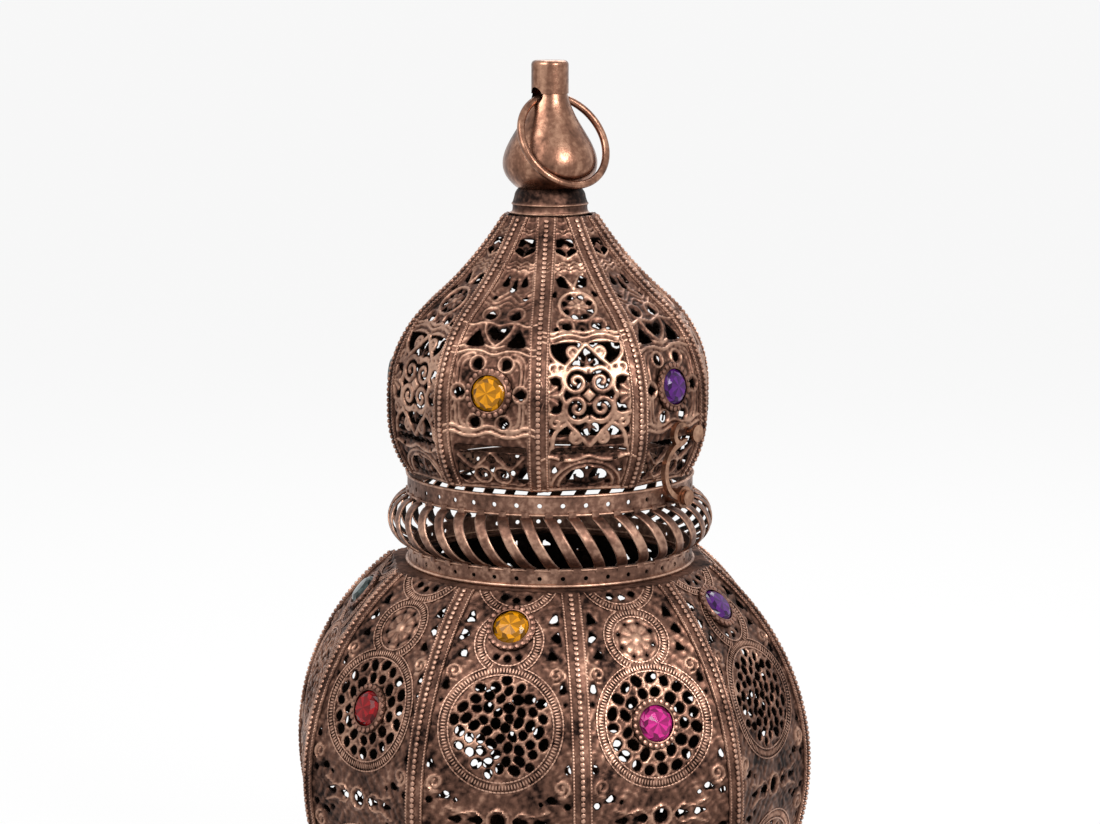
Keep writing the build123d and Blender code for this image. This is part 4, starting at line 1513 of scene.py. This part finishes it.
@dataclass
class Jewels:
    """Faceted jewels in toothed settings."""

    radius: float = SIZES.gem_radius
    rim: float = SIZES.bezel_radius
    sides: int = 14
    teeth: int = 22
    tooth: float = 1.5
    tooth_seat: float = 1.3
    ring_steps: int = 66
    upper: tuple[str, ...] = ("purple", "red", "pink", "teal", "amber")
    lower: tuple[str, ...] = ("purple", "teal", "amber", "red", "pink")

    def seat(self, section: Section, facing: float, height: float) -> tuple[Array, Array]:
        """Place of a jewel on a facet.

        Args:
            section: The facet's section.
            facing: Direction of the facet in degrees.
            height: Height of the jewel's middle.

        Returns:
            Origin, and axes to the right, up along the sheet and out of it.
        """
        origin, out = section.place(facing, np.zeros(1), np.array([section.run_at(height)]))
        right = facing_axes(facing)[1]
        return origin[0], np.stack([right, np.cross(out[0], right), out[0]])

    def stone(self) -> Surface:
        """Cut stone: a girdle, two rounds of facets turned by half a step, and an almost flat table.

        Every facet has one tone, a wave of its number: painted reflections and painted shade of the stone's
        far side showing through it, lighter towards the table.

        Returns:
            The stone, its table facing up.
        """
        plan = ((0.985, 0.1, 0), (1.0, 1.3, 0), (0.82, 3.0, 1), (0.62, 4.1, 0), (0.0, 4.4, 1))
        # Painted light of each round of facets, lighter towards the table, and how far it swings from facet
        # to facet.
        level = np.array([[0.2], [0.4], [0.5], [0.62]])
        swing = np.array([[0.0], [0.35], [0.4], [0.26]])
        half_steps = circle(2 * self.sides)
        rings = [self.radius * r * half_steps[half::2] + z * UP for r, z, half in plan]
        shade = level + swing * np.sin(2.3 * np.arange(self.sides) + 1.7 * np.arange(len(level))[:, None])
        corners = np.vstack(rings)[grid_quads(len(plan), self.sides, True)]
        sloped, table = corners[:-self.sides].reshape(-1, 3), corners[-self.sides:, :3].reshape(-1, 3)
        quads = np.arange(len(sloped)).reshape(-1, 4)
        tris = len(sloped) + np.arange(len(table)).reshape(-1, 3)
        tone = np.concatenate([np.repeat(shade[:-1], 4), np.repeat(shade[-1], 3)])
        return Surface(np.vstack([sloped, table]), quads, tris, np.clip(tone, 0.0, 1.0))

    def setting(self) -> Surface:
        """Round setting with a sloping inner lip and a ring of teeth.

        Returns:
            The setting, lying on its back.
        """
        beyond_rim = np.array([[0.0, -1.0], [0.0, 0.9], [-0.35, 1.3], [-1.2, 1.5], [-2.2, 1.7], [-2.7, 2.3],
                               [-3.2, 2.2], [-3.25, -1.0]])
        ring = revolved(beyond_rim + [self.rim, 0.0], self.ring_steps)
        ring.toned(np.clip(0.1 + 0.3 * ring.points[:, 2], 0.0, 0.7))
        spots = (self.rim - self.tooth_seat) * circle(self.teeth) + self.tooth_seat * UP
        return joined([ring, beads(spots, np.tile(UP, (self.teeth, 1)), self.tooth, 0.75, 8)])

    def build(self) -> None:
        """Set every jewel: one on each second dome facet, and an upper or a lower one on each bulb facet."""
        stone, setting = self.stone(), self.setting()
        settings: dict[Rider, list[Surface]] = {Rider.LID: [], Rider.BODY: []}
        for jewel in Jewel:
            high = FACET_TURN * 2 * self.upper.index(jewel.name)
            low = FACET_TURN * (2 * self.lower.index(jewel.name) + 1)
            seats = {Rider.LID: [(SIZES.dome, DOME_FACING + high, SIZES.dome_foot_z + SIZES.dome_gem_rise)],
                     Rider.BODY: [(SIZES.bulb, BODY_FACING + high, SIZES.equator_z + SIZES.upper_gem_rise),
                                  (SIZES.bulb, BODY_FACING + low, SIZES.equator_z + SIZES.lower_gem_rise)]}
            for rider, where in ((Rider.LID, "dome"), (Rider.BODY, "body")):
                places = [self.seat(*seat) for seat in seats[rider]]
                settings[rider] += [setting.moved(*place) for place in places]
                piece(f"{where}_jewel_{jewel.name}", joined([stone.moved(*place) for place in places]),
                      Glass(f"jewel_{jewel.name}", jewel.value), rider, (f"{where}_gem_{jewel.name}",),
                      FLAT_SHADED)
        for rider, where in ((Rider.LID, "dome"), (Rider.BODY, "body")):
            piece(f"{where}_settings", joined(settings[rider]), DARK_COPPER, rider, (f"{where}_bezels",))


@dataclass
class Neck:
    """Leaning slats between two bands, with folded tabs and rolled edges."""

    slats: int = 40
    width: float = 5.6
    lean: float = 13.5
    bulge: float = 10.0
    slat_rows: int = 19
    slat_cols: int = 6
    tab: float = 2.0
    tab_sink: float = 0.4
    tab_lift: float = 0.25
    tab_share: float = 0.72
    tab_thick: float = 1.3
    tab_corner: float = 5.0
    tab_rows: int = 6
    roll_steps: int = 160

    def slat(self) -> Surface:
        """One slat that faces +X.

        At a height share t the strip's middle lies lean (1/2 - t) to the side, and its distance from the axis
        is the band's radius plus the height of a circle's arc over the chord from band to band. A point to
        the side stays at that distance.

        Returns:
            The outer skin, worn along its edges and across its belly.
        """
        low, half = SIZES.slat_low, (SIZES.slat_top - SIZES.slat_low) / 2
        arc = (half ** 2 + self.bulge ** 2) / (2 * self.bulge)
        t = np.linspace(0.0, 1.0, self.slat_rows)[:, None]
        x = np.linspace(-1.0, 1.0, self.slat_cols)[None]
        z = low + 2 * half * t
        rise = np.sqrt(np.maximum(arc ** 2 - (z - low - half) ** 2, 0.0))
        far = SIZES.neck_radius + self.bulge - arc + rise
        across = self.lean * (0.5 - t) + 0.5 * self.width * x
        grid = np.stack(np.broadcast_arrays(np.sqrt(far ** 2 - across ** 2), across, z), axis=-1)
        tone = 0.38 + 0.22 * np.abs(x) ** 3 + 0.25 * np.exp(-((t - 0.5) / 0.25) ** 2)
        return Surface(grid.reshape(-1, 3), grid_quads(*grid.shape[:2]), tone=tone.ravel())

    def turned_about(self, surface: Surface) -> Surface:
        """Copies of a surface turned about the axis, one for each slat.

        Args:
            surface: The surface that faces +X.

        Returns:
            All copies.
        """
        turns = np.arange(self.slats) * 360.0 / self.slats
        return joined([surface.moved(np.zeros(3), np.stack([*facing_axes(turn), UP])) for turn in turns])

    def tabs(self) -> Surface:
        """Folded ends of a slat lying on the bands, as rounded blocks.

        Returns:
            Both tabs of the slat that faces +X.
        """
        ahead, right = facing_axes(0.0)
        made = []
        for z, way in ((SIZES.slat_top, 1.0), (SIZES.slat_low, -1.0)):
            side = -way * 0.5 * self.lean
            far = math.sqrt(SIZES.neck_radius ** 2 - side ** 2) + self.tab_lift
            height = z + way * np.linspace(-self.tab_sink, self.tab, self.tab_rows)
            path = far * ahead + side * right + height[::int(way), None] * UP
            block = oval(self.tab_share * self.width, self.tab_thick, self.tab_corner)
            made.append(carried(path, right, ahead, block, capped=True))
        return joined(made).toned(0.5)

    def rolls(self) -> Surface:
        """Rolled edges: a stout one under the lower band, thin ones at the other edges.

        Returns:
            All four wires.
        """
        wires = ((SIZES.low_band_z + 1.1, 1.15), (SIZES.slat_low - 0.7, 0.6), (SIZES.slat_top + 0.7, 0.6),
                 (SIZES.band_top - 0.7, 0.7))
        out = circle(self.roll_steps)
        ring = (SIZES.neck_radius + 0.1) * out
        return joined([carried(ring + z * UP, -UP, out, oval(2 * wire, 2 * wire), ring=True).toned(0.75)
                       for z, wire in wires])

    def build(self) -> None:
        """Make the slats, their tabs and the rolled edges."""
        piece("slats", self.turned_about(self.slat()), BAND_COPPER, Rider.BODY, ("neck_slats",),
              smooth=ROUND_SHADED, walled=True)
        piece("slat_tabs", self.turned_about(self.tabs()), BAND_COPPER, Rider.BODY)
        piece("band_rolls", self.rolls(), BAND_COPPER, Rider.BODY)


@dataclass
class Collar:
    """Turned collar under the finial: a bead at its foot, a thin line and a cove that runs up to the pear."""

    bore: float = 12.7
    steps: int = 96
    # Radius up to which the collar is painted dark as the shade of its cove.
    plain: float = 18.4
    bead_rise: float = 0.7
    outline: Outline = ((18.8, 0.0), (19.4, 0.9), (18.7, 1.9), (18.5, 4.3), (19.1, 5.2), (18.5, 6.1),
                        (17.8, 8.2), (17.2, 10.6), (15.6, 13.0))

    def build(self) -> None:
        """Turn a smooth outline; beads, which stand out from the axis, are painted bright as wear and
        highlight lines, and the cove is painted dark as its shade.
        """
        side = round_path(self.outline)
        loop = np.vstack([[self.bore, 0.0], side, [self.bore, side[-1, 1]], [self.bore, 0.0]])
        ring = revolved(loop + [0.0, SIZES.dome_top_z], self.steps)
        away = np.hypot(ring.points[:, 0], ring.points[:, 1])
        # Tone by distance from the axis: painted shade in the cove, wear and painted highlight on the beads.
        ring.toned(0.16 + 0.7 * np.clip((away - self.plain) / self.bead_rise, 0.0, 1.0))
        piece("collar", ring, COPPER, Rider.LID, ("dome_collar",))


@dataclass
class FootTrim:
    """Trim on the flared foot: beads on its rim, a milled edge under the bulb and lobes down its hollow."""

    top: float = SIZES.body_end - 3.0
    top_z: float = SIZES.equator_z - SIZES.body_half_height
    rim: float = 96.0
    rim_z: float = 6.0

    def row(self, z: float, count: int, radius: float, height: float, stretch: float = 1.0,
            sides: int = 8) -> Surface:
        """Domes round the foot at a height.

        The hollow is an arc about a centre level with its top, and a dome points at that centre. Below the
        hollow the rim is upright.

        Args:
            z: Height of the row.
            count: Number of domes.
            radius: Half their width.
            height: Height as a share of the radius.
            stretch: Length down the foot as a share of the width.
            sides: Corners of each dome.

        Returns:
            All domes of the row.
        """
        wide, tall = self.rim - self.top, self.top_z - self.rim_z
        arc = (wide ** 2 + tall ** 2) / (2 * wide)
        drop = self.top_z - z
        across = math.sqrt(arc ** 2 - drop ** 2)
        far, out, up = self.top + arc - across, across / arc, drop / arc
        if z < self.rim_z:
            far, out, up = self.rim, 1.0, 0.0
        ahead = circle(count)
        normals, along = out * ahead + up * UP, out * UP - up * ahead
        return beads(far * ahead + z * UP, normals, radius, height, sides, along, stretch)

    def build(self) -> None:
        """Make the rows."""
        rows = ((2.9, 180, 1.35, 0.7), (7.4, 300, 0.75, 0.8), (self.top_z - 2.0, 200, 0.95, 0.8),
                (self.top_z - 4.6, 300, 0.6, 0.8), (23.0, 56, 2.7, 0.42, 4.6, 14))
        piece("foot_trim", joined([self.row(*row) for row in rows]), BEAD_COPPER, Rider.BODY)


@dataclass
class CastNodes:
    """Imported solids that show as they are, each with its finish."""

    finishes: tuple[tuple[Metal, tuple[str, ...]], ...] = (
        (COPPER, ("foot_ring", "dome_hoop", "hinge_lower_leaf", "hinge_upper_leaf")),
        (BAND_COPPER, ("neck_low_band", "neck_top_band")),
        (TURNED_COPPER, ("finial", "carry_ring")),
        (HANDLED_AND_LIT_COPPER, ("latch_hook", "hook_rivet", "latch_stud")),
        (CUP_SHEET, ("floor_disc", "candle_cup")),
        (STEEL, ("finial_nut", "finial_washer", "hinge_pin", "cup_rivet")))

    def dress(self) -> None:
        """Give each solid its finish; a solid carries no tone, so the finish reads clouds alone."""
        for finish, nodes in self.finishes:
            plain = replace(finish, name=f"{finish.name}_plain", tone_share=0.0)
            for name in nodes:
                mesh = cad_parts[name].data
                mesh.materials.clear()
                mesh.materials.append(finish_material(plain))
                LOG.info("%s: finish %s", name, plain.name)


# Studio


@dataclass(frozen=True)
class Lamp:
    """Square soft light: its place in degrees from the camera's azimuth and in metres, its size and power."""

    name: str
    azimuth: float
    elevation: float
    distance: float
    size: float
    power: float


@dataclass
class Studio:
    """Floor, light and camera."""

    azimuth: float = -50.0
    elevation: float = 9.0
    distance: float = 1.4
    aim_z: float = 0.319
    width: float = 0.55
    sensor: float = 36.0
    lamp_aim_z: float = 0.27
    floor_half: float = 120.0
    fill: float = 0.45
    lamps: tuple[Lamp, ...] = (Lamp("key", 37.0, 30.0, 1.5, 0.55, 18.0),
                               Lamp("fill", -45.0, 42.0, 1.7, 1.1, 15.0),
                               Lamp("back", 165.0, 50.0, 1.6, 0.9, 14.0))

    def floor(self) -> None:
        """Wide pale floor that shows white to the camera and keeps a soft shadow."""
        side = self.floor_half
        mesh = bpy.data.meshes.new("floor")
        mesh.from_pydata([(-side, -side, 0.0), (side, -side, 0.0), (side, side, 0.0), (-side, side, 0.0)], [],
                         [(0, 1, 2, 3)])
        mesh.materials.append(finish_material(PaleFloor()))
        obj = bpy.data.objects.new("floor", mesh)
        bpy.context.scene.collection.objects.link(obj)

    def sky(self) -> None:
        """White surround for the camera, in reflections and through glass, and a soft fill for the rest."""
        world = bpy.data.worlds.new("studio")
        bpy.context.scene.world = world
        sheet = NodeSheet(world)
        fill, white = (sheet.add("ShaderNodeBackground", {"Color": WHITE, "Strength": strength}).outputs[0]
                       for strength in (self.fill, 1.0))
        sheet.add("ShaderNodeOutputWorld", {"Surface": sheet.mixed(sheet.seen(), fill, white)})

    def aimed(self, data: bpy.types.ID, turn: float, elevation: float, distance: float,
              aim_z: float) -> bpy.types.Object:
        """Put a lamp or a camera on a ball about a point of the axis, looking at that point.

        Args:
            data: The lamp or camera.
            turn: Azimuth beyond the camera's, in degrees.
            elevation: Elevation in degrees.
            distance: Distance from the point.
            aim_z: Height of the point.

        Returns:
            The object.
        """
        a, e = math.radians(self.azimuth + turn), math.radians(elevation)
        direction = np.array([math.sin(a) * math.cos(e), -math.cos(a) * math.cos(e), math.sin(e)])
        obj = bpy.data.objects.new(data.name, data)
        obj.location = tuple(aim_z * UP + distance * direction)
        obj.rotation_euler = (math.pi / 2 - e, 0.0, a)
        bpy.context.scene.collection.objects.link(obj)
        return obj

    def light(self) -> None:
        """Soft lamps that look at the lantern's middle."""
        for lamp in self.lamps:
            data = bpy.data.lights.new(lamp.name, "AREA")
            data.size = lamp.size
            data.energy = lamp.power
            self.aimed(data, lamp.azimuth, lamp.elevation, lamp.distance, self.lamp_aim_z)

    def camera(self) -> None:
        """Camera at the picture's angle, aimed at the axis, with the picture's width at the axis."""
        data = bpy.data.cameras.new("camera")
        data.sensor_width = self.sensor
        data.lens = self.sensor * self.distance / self.width
        bpy.context.scene.camera = self.aimed(data, 0.0, self.elevation, self.distance, self.aim_z)

    def build(self) -> None:
        """Set up the whole studio."""
        self.floor()
        self.sky()
        self.light()
        self.camera()
        bpy.context.scene.view_settings.view_transform = "Standard"


def main() -> None:
    """Build the lantern piece by piece, dress it and light it."""
    logging.basicConfig(level=logging.INFO, format="%(name)s: %(message)s")
    DomeFacets().build()
    BulbFacets().build()
    Ribs("dome_rib", SIZES.dome, DOME_FACING, Rider.LID, "dome_ribs").build()
    Ribs("bulb_rib", SIZES.bulb, BODY_FACING, Rider.BODY, "body_ribs").build()
    Jewels().build()
    Neck().build()
    Collar().build()
    FootTrim().build()
    CastNodes().dress()
    Studio().build()


if __name__ == "__main__":
    main()
